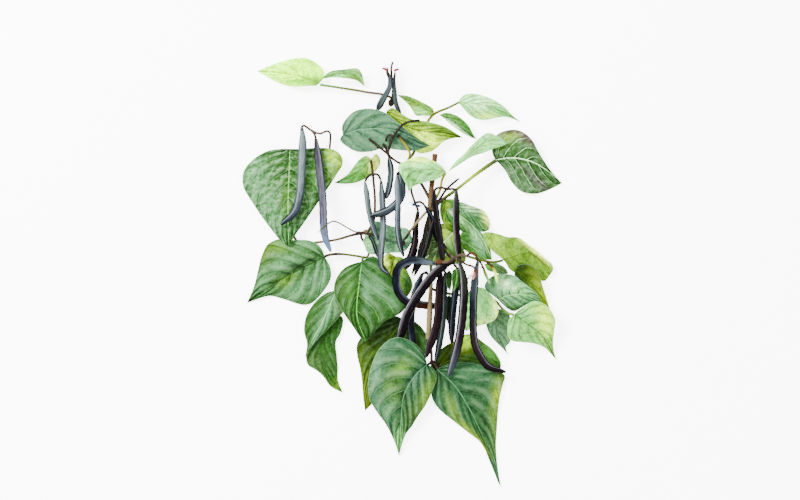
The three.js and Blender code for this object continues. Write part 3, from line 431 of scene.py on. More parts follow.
# Pods: centre line from the calyx to the beak with heights, and the greatest half width.
PODS = {
    "pod_left_a": {"half": 4, "line": [(-98, 122, 15), (-97, 113, 16), (-98, 80, 18), (-100, 55, 18),
        (-105, 38, 17), (-119, 25, 14)]},
    "pod_left_b": {"half": 4, "line": [(-84, 111, 14), (-80, 80, 16), (-77, 50, 16), (-75, 15, 14),
        (-69, -2, 11)]},
    "pod_top_a": {"half": 3.8, "neck": 0.9, "line": [(-13, 178, 11), (-10, 169.5, 11), (-11, 161, 11),
        (-16, 152, 10), (-23, 139, 8.5)]},
    "pod_top_b": {"half": 2.4, "neck": 0.4, "line": [(-5, 177, 9), (-6, 167, 8), (-5.5, 157, 8),
        (-4, 146, 7), (1, 135, 5)]},
    "pod_upper_a": {"half": 2.8, "line": [(-35, 68, 13), (-33, 55, 12), (-31, 40, 11.5),
        (-28, 27, 11.5), (-22, 9, 10.5)]},
    "pod_upper_b": {"half": 3.2, "line": [(-19, 69, 13), (-18, 55, 12.5), (-17, 35, 12),
        (-17, 20, 13), (-19, -5, 16), (-18, -18, 18), (-11, -24, 18)]},
    "pod_upper_c": {"half": 3.2, "line": [(-11, 92, 14), (-9, 78, 14), (-11, 62, 13), (-14, 51, 11)]},
    "pod_upper_d": {"half": 4, "line": [(0, 77, 9), (1.5, 68, 10.5), (1, 53, 16.5), (-7, 43, 19),
        (-15, 38, 19.5), (-30, 34, 16)]},
    "pod_upper_e": {"half": 3, "line": [(-3, 74, 10.5), (-3, 64, 18), (-2, 50, 25), (-2, 20, 21),
        (1, 2, 16), (4, -7, 13)]},
    "pod_upper_f": {"half": 1.8, "line": [(-31, 15, 6.6), (-27, 8, 6.8), (-24, -1, 6.8), (-22, -8, 6)]},
    "pod_dark_a": {"half": 4.6, "neck": 0.8, "line": [(18, 38, 10), (16, 25, 10), (14.5, 5, 10),
        (10, -10, 10), (5, -19, 9)]},
    "pod_dark_b": {"half": 2.1, "line": [(27.4, 31.5, 12), (25.5, 20, 13), (22.5, 5, 13),
        (18, -8, 12.5), (12, -24, 11)]},
    "pod_dark_c": {"half": 2.2, "line": [(34, 31, 20.5), (31, 20, 20), (27.5, 5, 18),
        (22.5, -8, 16.5), (14, -26, 15)]},
    "pod_dark_d": {"half": 3.2, "line": [(34, 58, 30), (35, 45, 29), (37, 30, 28.5), (40, 10, 27),
        (43, -15, 25)]},
    "pod_dark_e": {"half": 3.4, "line": [(56, 59, 26), (56, 50, 25), (56, 25, 22), (58, 0, 23),
        (59.5, -12, 24)]},
    "pod_navy_a": {"half": 2.4, "line": [(24, 45, 15), (28, 39, 15.6), (33, 29, 15.6), (36, 13, 14),
        (46, 0, 11), (50, -8, 9)]},
    "pod_looped": {"half": 4, "line": [(36, -14, 28), (28, -12, 28), (15, -10, 27), (5, -12, 25),
        (-2, -18, 23), (-4, -30, 20), (-1, -43, 17), (8, -52, 15), (18, -54, 12.5), (29, -55.5, 7.5),
        (38, -56, 5.5), (49, -57, 4.5)]},
    "pod_front_a": {"half": 3.8, "line": [(22, -24, 14), (18, -35, 10), (13.5, -50, 6),
        (11, -65, 5.8), (11, -80, 6), (14, -102, 6)]},
    "pod_front_b": {"half": 4.6, "line": [(54, -11, 33.5), (43, -16, 31.5), (32, -26, 28.5),
        (22, -39, 24.5), (13, -53, 21.5), (6, -67, 16.5), (1, -84, 10), (-4, -99, 7)]},
    "pod_front_c": {"half": 4.2, "line": [(40.5, -21, 23), (39, -45, 23), (38, -65, 21.5),
        (34.5, -83, 20), (29.5, -96, 18.5), (26, -107, 17)]},
    "pod_front_d": {"half": 3.3, "line": [(45, -22, 20), (44, -40, 15), (43.5, -60, 12),
        (41.5, -80, 10), (38, -100, 8.5), (35, -112, 8)]},
    "pod_front_e": {"half": 3.6, "line": [(58, -20, 26), (56, -35, 22), (54, -50, 19), (52, -70, 14),
        (51.5, -93, 9)]},
    "pod_front_f": {"half": 4.4, "line": [(59, -12, 37), (63, -30, 34.5), (62.5, -60, 30),
        (59.5, -85, 23), (54.5, -107, 16), (48, -126, 11)]},
    "pod_front_g": {"half": 3.9, "line": [(77, -12, 36), (75, -25, 34), (73, -50, 29), (73, -80, 22),
        (75, -95, 18), (81, -107, 14), (88, -116, 11), (106, -122, 8.5)]},
}

# Stems, petioles and stalks: a line with a half width at each point.
STEMS = {
    "main_stem": [(35, 96, 8, 2.6), (34, 85, 8, 2.6), (32, 68, 8.5, 2.5), (30, 45, 10, 2.5),
        (30, 20, 10, 2.3), (31, -31, 14, 1.6), (30, -52, 14.5, 2), (29, -75, 11.5, 2.9),
        (28, -89, 10, 2.5)],
    "bottom_petiole": [(28, -84, 10, 1.6), (31, -98, 6, 1.3), (31, -112, 6.5, 1.3),
        (28, -114, 10, 1.1)],
    "bottom_right_petiole": [(31, -110, 6.3, 1.4), (35, -114, 6, 2), (38, -119, 5.8, 1.6)],
    "top_left_petiole": [(-80, 165, 7, 0.9), (-60, 162, 6, 0.9), (-35, 158, 4, 1), (-9, 152, 3.4, 1),
        (0, 132, 3, 1), (10, 115, 3, 1.1), (15, 100, 4, 1.2)],
    "top_right_petiole": [(60, 148, 7.2, 0.9), (48, 142, 6, 1), (38, 138, 5, 1.1), (32, 134, 5, 1.2),
        (27, 127, 4.5, 1.2), (20, 112, 4, 1.3), (13, 96, 4.5, 1.3), (8, 89, 6, 1.3), (12, 80, 7, 1.4),
        (22, 65, 8.5, 1.5), (30, 50, 10, 1.6)],
    "top_pod_stalk": [(-8, 151, 3.4, 0.9), (-7, 162, 3.4, 0.9), (-8.5, 174, 4, 0.9),
        (-8.5, 183, 8, 0.8), (-7, 188, 9, 0.7)],
    "centre_petiole": [(45.5, 77, 14, 1), (42, 70, 12, 1.1), (40, 60, 11.5, 1.1), (31, 43, 10.5, 1.3)],
    "right_petiole": [(98, 91, 8.6, 2.1), (75, 75, 11, 1.9), (56, 60, 14, 1.6), (41, 49, 14, 1.6),
        (30, 38, 10.5, 1.8)],
    "left_branch": [(30, 42, 10.5, 1.2), (20, 31, 17, 1.1), (11, 20, 16, 1), (3, 10, 9, 1.1),
        (-15, 11, 6, 0.8), (-30, 16, 9.2, 1.2), (-42, 16, 9, 1.4), (-65, 10, 7.5, 1.2),
        (-84, 7.5, 3, 1), (-99, 6, 1.8, 1), (-106, 14, 2, 1), (-104, 40, 4, 1), (-96, 62, 4.5, 1),
        (-80, 82, 4.5, 0.9), (-72, 92, 4.5, 0.9), (-70, 104, 6, 0.9), (-70, 117, 11, 0.9),
        (-73, 118.5, 13, 0.8), (-80, 116, 13.5, 0.8), (-88, 119, 14, 0.8), (-96, 124, 15.5, 0.8),
        (-98, 122.5, 15, 0.8)],
    "left_pod_stalk": [(-88, 119, 14, 0.8), (-85, 115, 14, 0.8), (-84, 111.5, 14, 0.8)],
    "large_leaf_petiole": [(-96, 62, 4.5, 1), (-106, 80, 5, 1), (-110, 96, 7, 1)],
    "tendril": [(-35, 18, 9, 0.7), (-44, 18, 13, 0.6), (-62, 27.5, 21, 0.6), (-67, 28.5, 23, 0.6),
        (-73, 25, 24, 0.6),
        (-82, 17, 21, 0.4)],
    "mid_leaf_petiole": [(-77.2, -7.4, 6.3, 1.2), (-71, -5, 6.2, 1.5), (-60, -4, 6, 0.9),
        (-43, -6, 4.5, 1), (-33, -7, 1.6, 0.9),
        (-31, 3, 1.6, 0.9), (-38, 11, 2, 0.9), (-39, 16, 8, 1)],
    "centre_leaf_petiole": [(-38, -13, 9.5, 1), (-37, -8, 6, 1), (-36, -6.5, 2.8, 1)],
    "brown_stalk": [(-29, 89.5, 11, 1), (-27, 75, 13, 1), (-25, 50, 10.5, 1.1), (-25.5, 35, 8.5, 1.1),
        (-27, 26, 7, 1.1), (-33, 17, 8, 1.2)],
    "pod_arch": [(-34.5, 69, 13, 0.8), (-32, 73, 14, 0.8), (-27, 75.5, 14, 0.9), (-22, 75, 14, 0.8),
        (-19.2, 70, 13.2, 0.8)],
    "black_stalk": [(18, 129, 16, 0.9), (10, 128, 18, 0.9), (2, 124, 19.5, 0.9), (-8, 110, 19, 1),
        (-12, 97, 17, 1)],
    "black_side_stalk": [(-14, 108, 19, 0.8), (-13, 112, 19.5, 0.7), (-10, 114.5, 19.5, 0.7),
        (-6, 112, 19.3, 0.8)],
    "black_second_stalk": [(-17, 106, 18, 0.8), (-12, 97, 17, 0.9), (-11, 92.5, 14.5, 0.9)],
    "thin_brown_stalk": [(-30, 110, 19, 0.8), (-15, 98, 17, 0.9), (-6, 90, 12, 0.9), (2, 86, 8, 0.9),
        (9, 87, 6.2, 0.9)],
    "yellow_stalk": [(-1, 113, 18.5, 0.9), (5, 105, 18, 0.8), (9.5, 97.5, 16.6, 0.8),
        (9.5, 93, 11, 0.9), (9, 89.5, 6.2, 0.9)],
    "upper_pods_stalk": [(9, 85, 7, 1), (3, 79, 8.5, 1), (0, 77, 9.8, 0.9)],
    "upper_thin_stalk": [(2, 79, 8.7, 0.9), (-2, 77, 9.5, 0.8), (-3, 74.5, 10.3, 0.8)],
    "flower_stalk": [(14, 76, 7.3, 0.9), (11, 62, 8, 0.8), (15, 47, 11, 0.8), (17.5, 41, 11, 0.8),
        (18, 38.5, 10.2, 0.8)],
    "navy_stalk": [(15, 47, 11, 0.8), (20, 48, 13, 0.8), (24, 45.5, 15, 0.8)],
    "dark_b_stalk": [(30, 36, 10, 0.9), (28, 33, 11.6, 0.9), (27.4, 31.8, 12, 0.8)],
    "dark_c_stalk": [(32, 44, 11, 0.9), (35, 40, 18, 0.8), (34.5, 33, 20.5, 0.8)],
    "knob_stalk": [(31, 46, 11, 0.9), (38, 49, 19.5, 0.9), (46, 60, 27, 0.9), (57, 70, 27, 0.7)],
    "dark_arch": [(34, 58.5, 30.2, 0.8), (36, 61, 31, 0.8), (41, 62, 30.5, 0.8), (47, 60.5, 28, 0.8),
        (54, 60.5, 26.5, 0.8), (56.5, 59, 26, 0.8)],
    "front_link": [(30, -4, 12, 1), (35, -1, 16, 0.9), (40, 2, 18.5, 0.9), (45, 1, 21, 1),
        (50, -4, 29, 1.1), (53, -8, 37, 1.1)],
    "front_stalk": [(42, -12, 38, 1), (47, -12, 38.5, 1), (53, -8.5, 38.2, 1.2), (60, -5, 38, 1.2),
        (66, -6, 37, 1.1), (80, -10, 34, 1), (93, -12, 26, 1), (102, -10.5, 17, 1)],
    "front_b_stalk": [(53, -8, 37, 1), (54.5, -10, 35.5, 0.9), (54.3, -10.8, 34.2, 0.9)],
    "front_f_stalk": [(57, -6.5, 38, 0.9), (59, -11, 37.4, 0.9)],
    "front_g_stalk": [(66, -6, 37, 0.9), (70, -3, 38.5, 0.9), (74.5, -4.5, 38.5, 0.9),
        (77, -11, 36.5, 0.9)],
    "front_e_stalk": [(49, -3, 27, 0.9), (53, -13, 27, 0.9), (57.5, -19, 26.2, 0.9)],
    "front_c_stalk": [(31, -24, 13, 0.9), (36, -23, 18, 0.9), (40, -21, 22.3, 0.9)],
    "front_d_stalk": [(36, -23, 18, 0.9), (40.5, -20.5, 19, 0.9), (44.8, -21, 20, 0.9)],
    "looped_stalk": [(42, -12, 38, 0.9), (38.5, -10.5, 36, 0.9), (36.5, -12.5, 30, 0.9)],
    "front_a_stalk": [(31, -26, 13.5, 0.9), (26, -23, 15, 0.9), (22.3, -23.5, 14.2, 0.9)],
    "remnant_stalk": [(58.5, -9, 38.5, 0.7), (65, -14, 40.3, 0.7), (73, -17, 40.6, 0.7),
        (75, -22, 39.7, 0.7)],
    "young_a_stalk": [(78, -9.5, 34.5, 0.7), (82, -16, 32, 0.7), (85, -24, 28, 1.6),
        (89, -33, 25, 0.6)],
    "young_b_stalk": [(85, -11, 31.5, 0.7), (92, -17, 30, 0.7), (95, -24, 27, 1.5), (97, -33, 25, 0.6)],
    "right_low_petiole": [(30, -38, 14.2, 1.3), (40, -42, 10, 1.2), (52, -44, 8.5, 1.2),
        (75, -47, 8.5, 1.2), (90, -48, 9, 1.1), (96, -51.5, 10, 1.1), (101.5, -58, 15, 1),
        (108, -63, 16.5, 1), (113.5, -64.5, 17.5, 1)],
    "round_leaf_petiole": [(75, -47, 8.5, 0.9), (78, -41, 10, 0.9), (79, -37.5, 11, 0.9)],
    "hanging_leaf_petiole": [(88, -48, 9.2, 0.9), (92, -54, 8, 0.9), (94, -59, 7.6, 0.9)],
    "small_front_petiole": [(57, -7, 37.6, 0.5), (56.8, -13, 35.5, 0.45), (55.5, -19, 31.8, 0.4)],
    "small_dark_petiole": [(44.8, -21, 20, 0.45), (46.5, -18.5, 24, 0.4), (49, -20.5, 25, 0.4)],
    "small_low_petiole": [(52, -44, 8.5, 0.5), (50, -44.5, 8, 0.4), (49, -46, 7.2, 0.4)],
    "red_sepal_left": [(-12.5, 178.5, 11, 0.8), (-14.5, 180.5, 11, 1.2), (-18, 181, 11, 0.4)],
    "red_sepal_right": [(-6, 178.5, 9, 0.8), (-3.5, 180, 9, 1.2), (-0.5, 179.5, 9, 0.4)],
    "pink_sepal": [(-13, 178, 11, 0.7), (-12.3, 180.5, 11, 0.8), (-11.5, 182.5, 11, 0.3)],
    "dry_petal_long": [(75, -21.5, 39.7, 0.4), (72, -24.5, 39.7, 0.8), (69, -29, 39, 0.3)],
    "dry_petal_short": [(75.5, -22, 39.5, 0.5), (74, -26, 39.5, 0.7), (72, -29.5, 39, 0.3)],
    "dry_petal_dark": [(72, -24, 40, 0.3), (68.5, -26, 40, 0.4), (67.5, -29, 39.5, 0.6)],
    "navy_whisker": [(14, 45, 12.4, 0.4), (12.5, 47, 12.6, 0.35), (9, 47, 12.4, 0.3)],
    "navy_whisker_right": [(17, 44.5, 11.5, 0.3), (19.5, 43.5, 11.8, 0.2), (21.5, 44, 12, 0.6)],
}

# Buds and knobs on the stems: centre, the three half sizes and the colour.
BUDS = [
    (-41, 17, 9.5, 3, 2, 2, "bark_dark"),
    (-34, 18.5, 9, 2.6, 2.2, 2, "bark_pale"),
    (2, 7, 8, 3.5, 3.5, 2.2, "bark_dark"),
    (18.5, 129, 16, 1.6, 1.4, 1.3, "stalk_black"),
    (-30.5, 110.5, 19, 1.4, 1.2, 1.2, "stalk_black"),
    (-22, 103, 17.9, 1.6, 1.8, 1.3, "stalk_black"),
    (-1.5, 113.5, 18.6, 1.5, 1.4, 1.3, "stalk_black"),
    (58, 70.5, 27, 1.4, 1.1, 1.1, "stalk_black"),
    (-9, 147, 4.4, 3, 4, 2.4, "bark_dark"),
    (39.5, -12, 35, 3.6, 2.4, 2.2, "rust"),
    (76, -21.5, 39.6, 1.5, 1.3, 1.4, "rust"),
    (13.8, 45.2, 12.6, 2.2, 1.5, 1.5, "pod_blue"),
    (18.4, 44, 13, 1.9, 1.4, 1.4, "pod_blue"),
    (-7.2, 186.5, 9, 1.1, 1.6, 1, "purple_grey"),
    (82, -17, 31.6, 1.7, 1.3, 1.2, "rust"),
    (93, -19, 29.3, 1.1, 1.3, 1, "bark_dark"),
    (26, -22.5, 15, 2, 1.8, 1.5, "pod_purple"),
]

# Colours of the finishes, as they look in plain light
PALETTE = {
    "green": 0x639A4E,
    "green_rich": 0x4F8F38,
    "green_fresh": 0x8CC66E,
    "green_deep": 0x4A7F38,
    "green_dark": 0x35551F,
    "mint": 0x9EC8A3,
    "mint_pale": 0xCDEAC4,
    "white_green": 0xE9F4E4,
    "lime": 0xB2D06A,
    "lime_pale": 0xEFFBB8,
    "lime_bright": 0xA4D84A,
    "green_pale": 0xBCE2A8,
    "lemon": 0xE6FF80,
    "yellow": 0xD0DC40,
    "cream": 0xF2F4CC,
    "teal": 0x8DB598,
    "teal_pale": 0xB4D4BC,
    "teal_dark": 0x3F6E62,
    "blue_green": 0x528E62,
    "olive": 0x86A63C,
    "olive_dark": 0x436A1A,
    "olive_grey": 0x7A9A5E,
    "purple_grey": 0x8A7480,
    "brown": 0x6A4C3C,
    "grey_green": 0x9DBB98,
    "bark": 0x8A6238,
    "bark_pale": 0xA08D68,
    "pod_blue": 0x35547E,
    "purple_rim": 0x9A6C84,
    "wheat": 0xB8AC8A,
    "bark_dark": 0x4B3A2C,
    "stalk_green": 0x8C9A3C,
    "stalk_yellow": 0xC9C33A,
    "stalk_black": 0x241A1C,
    "stalk_pink": 0x8E7C70,
    "pod_slate": 0x7A8890,
    "pod_slate_light": 0xA3B1B1,
    "pod_slate_green": 0x6F827C,
    "pod_slate_dark": 0x2F3842,
    "pod_lavender": 0x8F8C9A,
    "pod_sky": 0xA8BCD2,
    "pod_navy": 0x1C2438,
    "pod_black": 0x1E161B,
    "pod_purple": 0x24181F,
    "pod_maroon": 0x34171D,
    "pod_plum": 0x412E39,
    "pod_olive": 0x5A664A,
    "rust": 0x8A4426,
    "petal_red": 0xC0505A,
    "petal_pink": 0xC99AA0,
    "petal_dry": 0xF0E2D8,
}

# Paint of each blade: finish, base colour, vein colour, veins a side, depth of the quilting, and soft
# patches as x, y, length, width, turn in degrees, colour and strength; some patches are painted
# highlight or painted shade.
LEAF_PAINT = {
    "leaflet_top_left": ("leaf_lime", "lemon", "lime", 4, 0.25, [
        (-83, 167, 9, 7, 10, "green_fresh", 0.7), (-88, 187, 18, 4, 170, "lime", 0.5),
        (-100, 168, 26, 4, 0, "lime", 0.5), (-80, 165, 5, 4, 0, "green", 0.8),
        (-109, 179, 10, 4, 0, "yellow", 0.3)]),
    "leaflet_top_folded": ("leaf_mint", "mint_pale", "olive", 3, 0.2, [
        (-72, 173, 10, 4, 20, "olive", 0.7), (-46, 168, 12, 6, 150, "lime", 0.85),
        (-58, 180, 16, 2.5, 5, "olive_grey", 0.8), (-44, 174, 5, 7, 20, "lime", 0.7),
        (-38, 176, 4, 8, 0, "grey_green", 0.6), (-60, 171, 12, 2, 0, "olive", 0.5)]),
    "leaflet_upper_teal": ("leaf_teal", "teal", "teal_pale", 4, 0.8, [
        (-35, 108, 12, 8, 170, "blue_green", 0.3), (-30, 132, 18, 8, 10, "blue_green", 0.35),
        (8, 108, 18, 9, 160, "teal_dark", 0.8), (-10, 101, 14, 4, 0, "teal_pale", 0.6),
        (-55, 118, 6, 12, 0, "teal_dark", 0.25)]),
    "leaflet_upper_lime": ("leaf_lime", "lime", "olive_dark", 5, 0.8, [
        (-4, 133, 14, 6, 140, "yellow", 0.7), (40, 118, 20, 5, 165, "olive", 0.6),
        (20, 101, 18, 5, 20, "lime_pale", 0.9), (25, 112, 16, 7, 160, "lime_pale", 0.75),
        (58, 112, 6, 4, 0, "olive_dark", 0.7)]),
    "leaflet_top_young": ("leaf_mint", "lime", "olive", 3, 0.3, [
        (20, 138, 8, 5, 0, "mint_pale", 0.7), (27, 144, 8, 4, 150, "green_fresh", 0.5),
        (5, 152, 8, 3, 150, "mint", 0.6)]),
    "leaflet_top_narrow": ("leaf_green", "green_fresh", "green_dark", 3, 0.3, [
        (54, 121, 15, 4, 145, "white_green", 0.95), (62, 128, 14, 4, 145, "green", 0.5)]),
    "leaflet_top_right": ("leaf_mint", "mint_pale", "green_fresh", 5, 0.7, [
        (72, 136, 14, 6, 0, "lime", 0.6), (66, 150, 10, 5, 20, "mint_pale", 0.5),
        (80, 146, 14, 7, 0, "white_green", 0.6),
        (100, 138, 16, 4, 155, "green_fresh", 0.5), (88, 133, 10, 3, 0, "lime_pale", 0.6)]),
    "leaflet_right_folded": ("leaf_mint", "mint_pale", "grey_green", 4, 0.3, [
        (74, 100, 16, 5, 45, "olive_grey", 0.45), (98, 109, 10, 5, 150, "grey_green", 0.4),
        (84, 112, 8, 5, 30, "mint", 0.35), (78, 98, 12, 4, 30, "olive_grey", 0.25)]),
    "leaflet_right_purple": ("leaf_veined", "green", "white_green", 5, 1, [
        (108, 121, 18, 7, 0, "purple_rim", 1), (110, 113, 9, 4, 10, "lime_pale", 0.2),
        (130, 114, 16, 8, 140, "purple_rim", 1),
        (104, 107, 10, 5, 20, "lime", 0.5), (128, 99, 16, 7, 150, "green", 0.5),
        (112, 76, 14, 6, 130, "grey_green", 0.6), (134, 70, 18, 2.5, 130, "purple_grey", 0.9),
        (143, 66, 12, 2.5, 130, "purple_grey", 0.9),
        (124, 70, 16, 2.2, 130, "green_dark", 0.5),
        (124, 62, 12, 5, 0, "grey_green", 0.6), (96, 92, 6, 6, 0, "green_dark", 0.4)]),
    "leaflet_centre_mint": ("leaf_mint", "mint_pale", "green", 3, 0.5, [
        (20, 91, 18, 4, 0, "lime_pale", 0.8), (28, 72, 12, 4, 20, "mint", 0.5),
        # The thin dark olive patches along the rib are painted shade in its fold.
        (14, 79, 16, 1.6, 168, "olive_dark", 0.6), (34, 76.5, 10, 1.6, 12, "olive_dark", 0.6),
        (22, 78, 16, 2, 15, "green_fresh", 0.7), (10, 76, 4, 10, 20, "olive_grey", 0.5),
        (14, 68, 8, 6, 60, "green_fresh", 0.5), (42, 79, 5, 5, 0, "yellow", 0.5)]),
    "leaflet_left_small": ("leaf_green", "green_fresh", "green", 3, 0.25, [
        (-26, 84, 6, 11, 0, "cream", 0.7), (-25, 88, 5, 7, 0, "bark_pale", 0.3),
        (-38, 84, 8, 6, 30, "green_fresh", 0.6),
        (-40, 82, 8, 6, 30, "green_pale", 0.4), (-58, 68, 8, 4, 20, "mint", 0.4)]),
    "leaflet_left_large": ("leaf_crumpled", "green", "mint_pale", 6, 1, [
        # The mint patches on the left half are painted highlights.
        (-146, 78, 12, 20, 0, "mint", 0.8), (-135, 52, 18, 16, 120, "mint", 0.55),
        (-120, 25, 14, 18, 20, "mint", 0.65), (-68, 92, 12, 9, 130, "lime_bright", 0.5),
        (-66, 91, 8, 6, 130, "lime_pale", 0.45),
        (-62, 80, 8, 16, 150, "lime", 0.8), (-88, 98, 14, 4, 0, "green_deep", 0.4),
        (-88, 74, 6, 22, 0, "green_fresh", 0.5), (-122, 98, 16, 4, 5, "green_deep", 0.4),
        (-112, 12, 8, 14, 0, "green", 0.8), (-113, 48, 6, 22, 0, "lime", 0.35)]),
    "leaflet_left_mid": ("leaf_green", "green", "green_dark", 5, 0.9, [
        (-134, -2, 10, 9, 0, "olive_dark", 0.6), (-137, -4, 9, 12, 0, "olive", 0.8),
        (-102, -13, 18, 4, 25, "green_dark", 0.5), (-122, 3, 14, 6, 0, "lime", 0.45),
        (-100, -38, 26, 9, 30, "mint", 0.7), (-78, -26, 9, 20, 160, "mint", 0.75),
        (-92, 6, 22, 5, 0, "mint", 0.6), (-112, -30, 10, 5, 30, "lime", 0.6),
        (-115, -14, 20, 9, 15, "mint", 0.55),
        (-140, -36, 12, 8, 60, "mint", 0.5),
        # The thin dark green patches along the rib are painted shade in its furrow.
        (-100, -16, 24, 2, 30, "green_dark", 1), (-108, -16, 8, 3, 20, "green_dark", 0.8),
        (-86, -32, 12, 2.2, 50, "green_dark", 0.6), (-109, -29, 4, 4, 0, "green_dark", 0.4)]),
    "leaflet_centre_large": ("leaf_green", "green_rich", "green_pale", 5, 0.8, [
        (-62, -30, 6, 18, 10, "olive_grey", 0.85), (-55, -50, 6, 16, 0, "green_deep", 0.5),
        # The pale teal patches beside the rib are painted highlights.
        (-50, -42, 5, 20, 0, "green_fresh", 0.35), (-34, -40, 4, 20, 10, "teal_pale", 0.45),
        (-22, -38, 7, 12, 30, "teal_pale", 0.4), (-6, -50, 8, 10, 0, "mint", 0.4),
        (-30, -78, 12, 9, 60, "green_deep", 0.35), (-30, -14, 14, 6, 0, "blue_green", 0.4),
        # The thin dark green patches by the rib are painted shade.
        (-60, -34, 5, 9, 0, "green_rich", 0.5), (-36, -28, 2.4, 10, 160, "green_dark", 0.5),
        (-44, -46, 7, 2.2, 30, "green_dark", 0.5), (-46, -62, 7, 2.2, 30, "green_dark", 0.5)]),
    "leaflet_centre_lime": ("leaf_lime", "lime", "green", 3, 0.5, [
        (-15, -17, 9, 15, 0, "lime_pale", 1), (-14, -22, 8, 12, 0, "cream", 0.4),
        (7, -33, 9, 18, 0, "green", 1),
        (0, -14, 2, 12, 0, "green_fresh", 0.8),
        (-8, -14, 2.4, 14, 5, "green", 0.8), (-6, -6, 12, 3, 0, "yellow", 0.7)]),
    "leaflet_lower_left_front": ("leaf_green", "green_rich", "green_pale", 4, 0.6, [
        # The pale teal patches along the ridge are painted highlights.
        (-90, -66, 7, 18, 20, "green_deep", 0.35), (-73, -62, 4, 22, 160, "teal_pale", 0.8),
        (-86, -92, 3, 16, 165, "teal_pale", 0.85), (-62, -58, 6, 12, 0, "grey_green", 0.75),
        (-80, -60, 8, 16, 160, "green", 0.3)]),
    "leaflet_lower_left_back": ("leaf_dark", "green_rich", "green", 4, 0.45, [
        (-84, -112, 12, 9, 150, "olive_grey", 0.8), (-66, -90, 8, 26, 0, "green_deep", 0.45),
        (-62, -137, 6, 8, 30, "lime", 0.6), (-70, -118, 8, 12, 30, "green", 0.5)]),
    "leaflet_lower_olive": ("leaf_olive", "olive_dark", "olive", 5, 0.6, [
        (-38, -125, 7, 26, 0, "olive", 0.9), (-33, -145, 7, 16, 0, "yellow", 0.3),
        (-25, -106, 12, 8, 40, "olive", 0.6), (16, -80, 13, 12, 0, "green", 0.95),
        (-10, -74, 20, 7, 10, "green_dark", 0.6), (24, -100, 6, 12, 0, "green", 0.7)]),
    "leaflet_bottom_teal": ("leaf_teal", "blue_green", "teal_pale", 6, 1, [
        (-8, -92, 20, 7, 0, "blue_green", 0.8), (-25, -120, 7, 26, 170, "teal_pale", 0.5),
        (0, -137, 7, 6, 30, "green_rich", 0.55),
        (-15, -110, 9, 6, 30, "blue_green", 0.5),
        (2, -118, 12, 8, 40, "lime", 0.45), (-8, -140, 10, 16, 20, "lime", 0.25),
        (26, -145, 6, 18, 160, "lime", 0.75), (10, -165, 8, 14, 150, "olive", 0.45),
        (-14, -160, 8, 10, 30, "mint", 0.5), (0, -192, 5, 14, 0, "mint_pale", 0.75),
        (16, -128, 5, 14, 150, "teal", 0.5), (-16, -96, 12, 10, 30, "teal", 0.3),
        # The thin dark teal and dark green patches are painted shade in the creases by the veins.
        (12, -126, 9, 2.4, 55, "teal_dark", 0.7), (-4, -133, 8, 2.2, 150, "green_dark", 0.7),
        (2, -146, 2.4, 7, 0, "green_dark", 0.7), (-26, -134, 7, 2.4, 20, "teal_dark", 0.5),
        (-24, -116, 8, 2.4, 20, "teal_dark", 0.5)]),
    "leaflet_bottom_right": ("leaf_green", "blue_green", "mint", 6, 0.8, [
        (52, -157, 3.5, 12, 20, "yellow", 0.2), (52, -157, 5, 14, 20, "lime", 0.35),
        (98, -145, 5, 17, 170, "yellow", 0.8), (94, -165, 5, 30, 0, "lime", 0.5),
        (76, -189, 3, 20, 40, "yellow", 0.8), (66, -180, 4, 18, 50, "lime", 0.7),
        (38, -128, 8, 10, 0, "green_dark", 0.7), (80, -170, 12, 26, 20, "green", 0.45),
        (97, -222, 4, 18, 15, "mint", 0.6), (66, -121, 18, 5, 0, "mint", 0.3),
        (73, -142, 10, 2.4, 165, "green_dark", 0.9), (80, -158, 8, 2.4, 150, "green_dark", 0.45),
        (84, -171, 7, 2.6, 120, "green_dark", 0.9), (86, -182, 5, 3, 30, "green_dark", 0.8)]),
    "leaflet_bottom_back": ("leaf_olive", "olive_dark", "olive", 4, 0.5, [
        (65, -90, 10, 9, 0, "yellow", 1), (65, -88, 6, 6, 0, "lemon", 0.3),
        (65, -89, 7, 6, 0, "lemon", 0.2), (88, -104, 12, 9, 140, "green_fresh", 0.95),
        (88, -101, 6, 6, 0, "green_pale", 0.35),
        (42, -106, 6, 10, 150, "olive", 0.45), (76, -112, 9, 8, 0, "green", 0.75)]),
    "leaflet_right_mint": ("leaf_mint", "mint", "green_fresh", 4, 1, [
        (87, 32, 4, 12, 15, "cream", 0.8), (68, 42, 10, 4, 160, "white_green", 0.5),
        (78, 28, 8, 5, 140, "green_fresh", 0.5)]),
    "leaflet_right_striped": ("leaf_mint", "green_fresh", "white_green", 6, 1, [
        # The pale stripes are painted highlights between darker stripes.
        (54, 36, 14, 2.4, 140, "white_green", 0.95), (62, 31, 14, 1.8, 138, "green_deep", 0.7),
        (66, 25, 16, 2.2, 132, "mint_pale", 0.9), (60, 22, 14, 1.8, 132, "green_rich", 0.8),
        (76, 18, 12, 2.4, 130, "teal_pale", 0.8), (80, 6, 10, 2, 125, "white_green", 0.7),
        (72, 8, 12, 1.8, 125, "teal_dark", 0.5)]),
    "leaflet_right_olive": ("leaf_green", "green_fresh", "lime", 3, 0.6, [
        (46, 46, 8, 5, 0, "green", 0.6), (47, 34, 3, 10, 0, "lime_pale", 0.7),
        (52, 24, 8, 8, 0, "olive", 0.6)]),
    "leaflet_right_green": ("leaf_green", "green_fresh", "teal_pale", 3, 0.4, [
        (80, 4, 4, 16, 40, "teal_pale", 0.8), (64, 4, 8, 5, 0, "olive", 0.5)]),
    "leaflet_centre_olive": ("leaf_lime", "olive_grey", "white_green", 4, 0.7, [
        (40, -12, 26, 4, 0, "yellow", 0.85), (58, 2, 7, 8, 0, "lime", 0.45),
        (48, 10, 3, 10, 20, "mint_pale", 0.8),
        (28, -2, 10, 8, 0, "mint", 0.5), (46, 16, 8, 8, 0, "lime_pale", 0.6)]),
    "leaflet_right_lime": ("leaf_lime", "lime", "olive", 4, 0.4, [
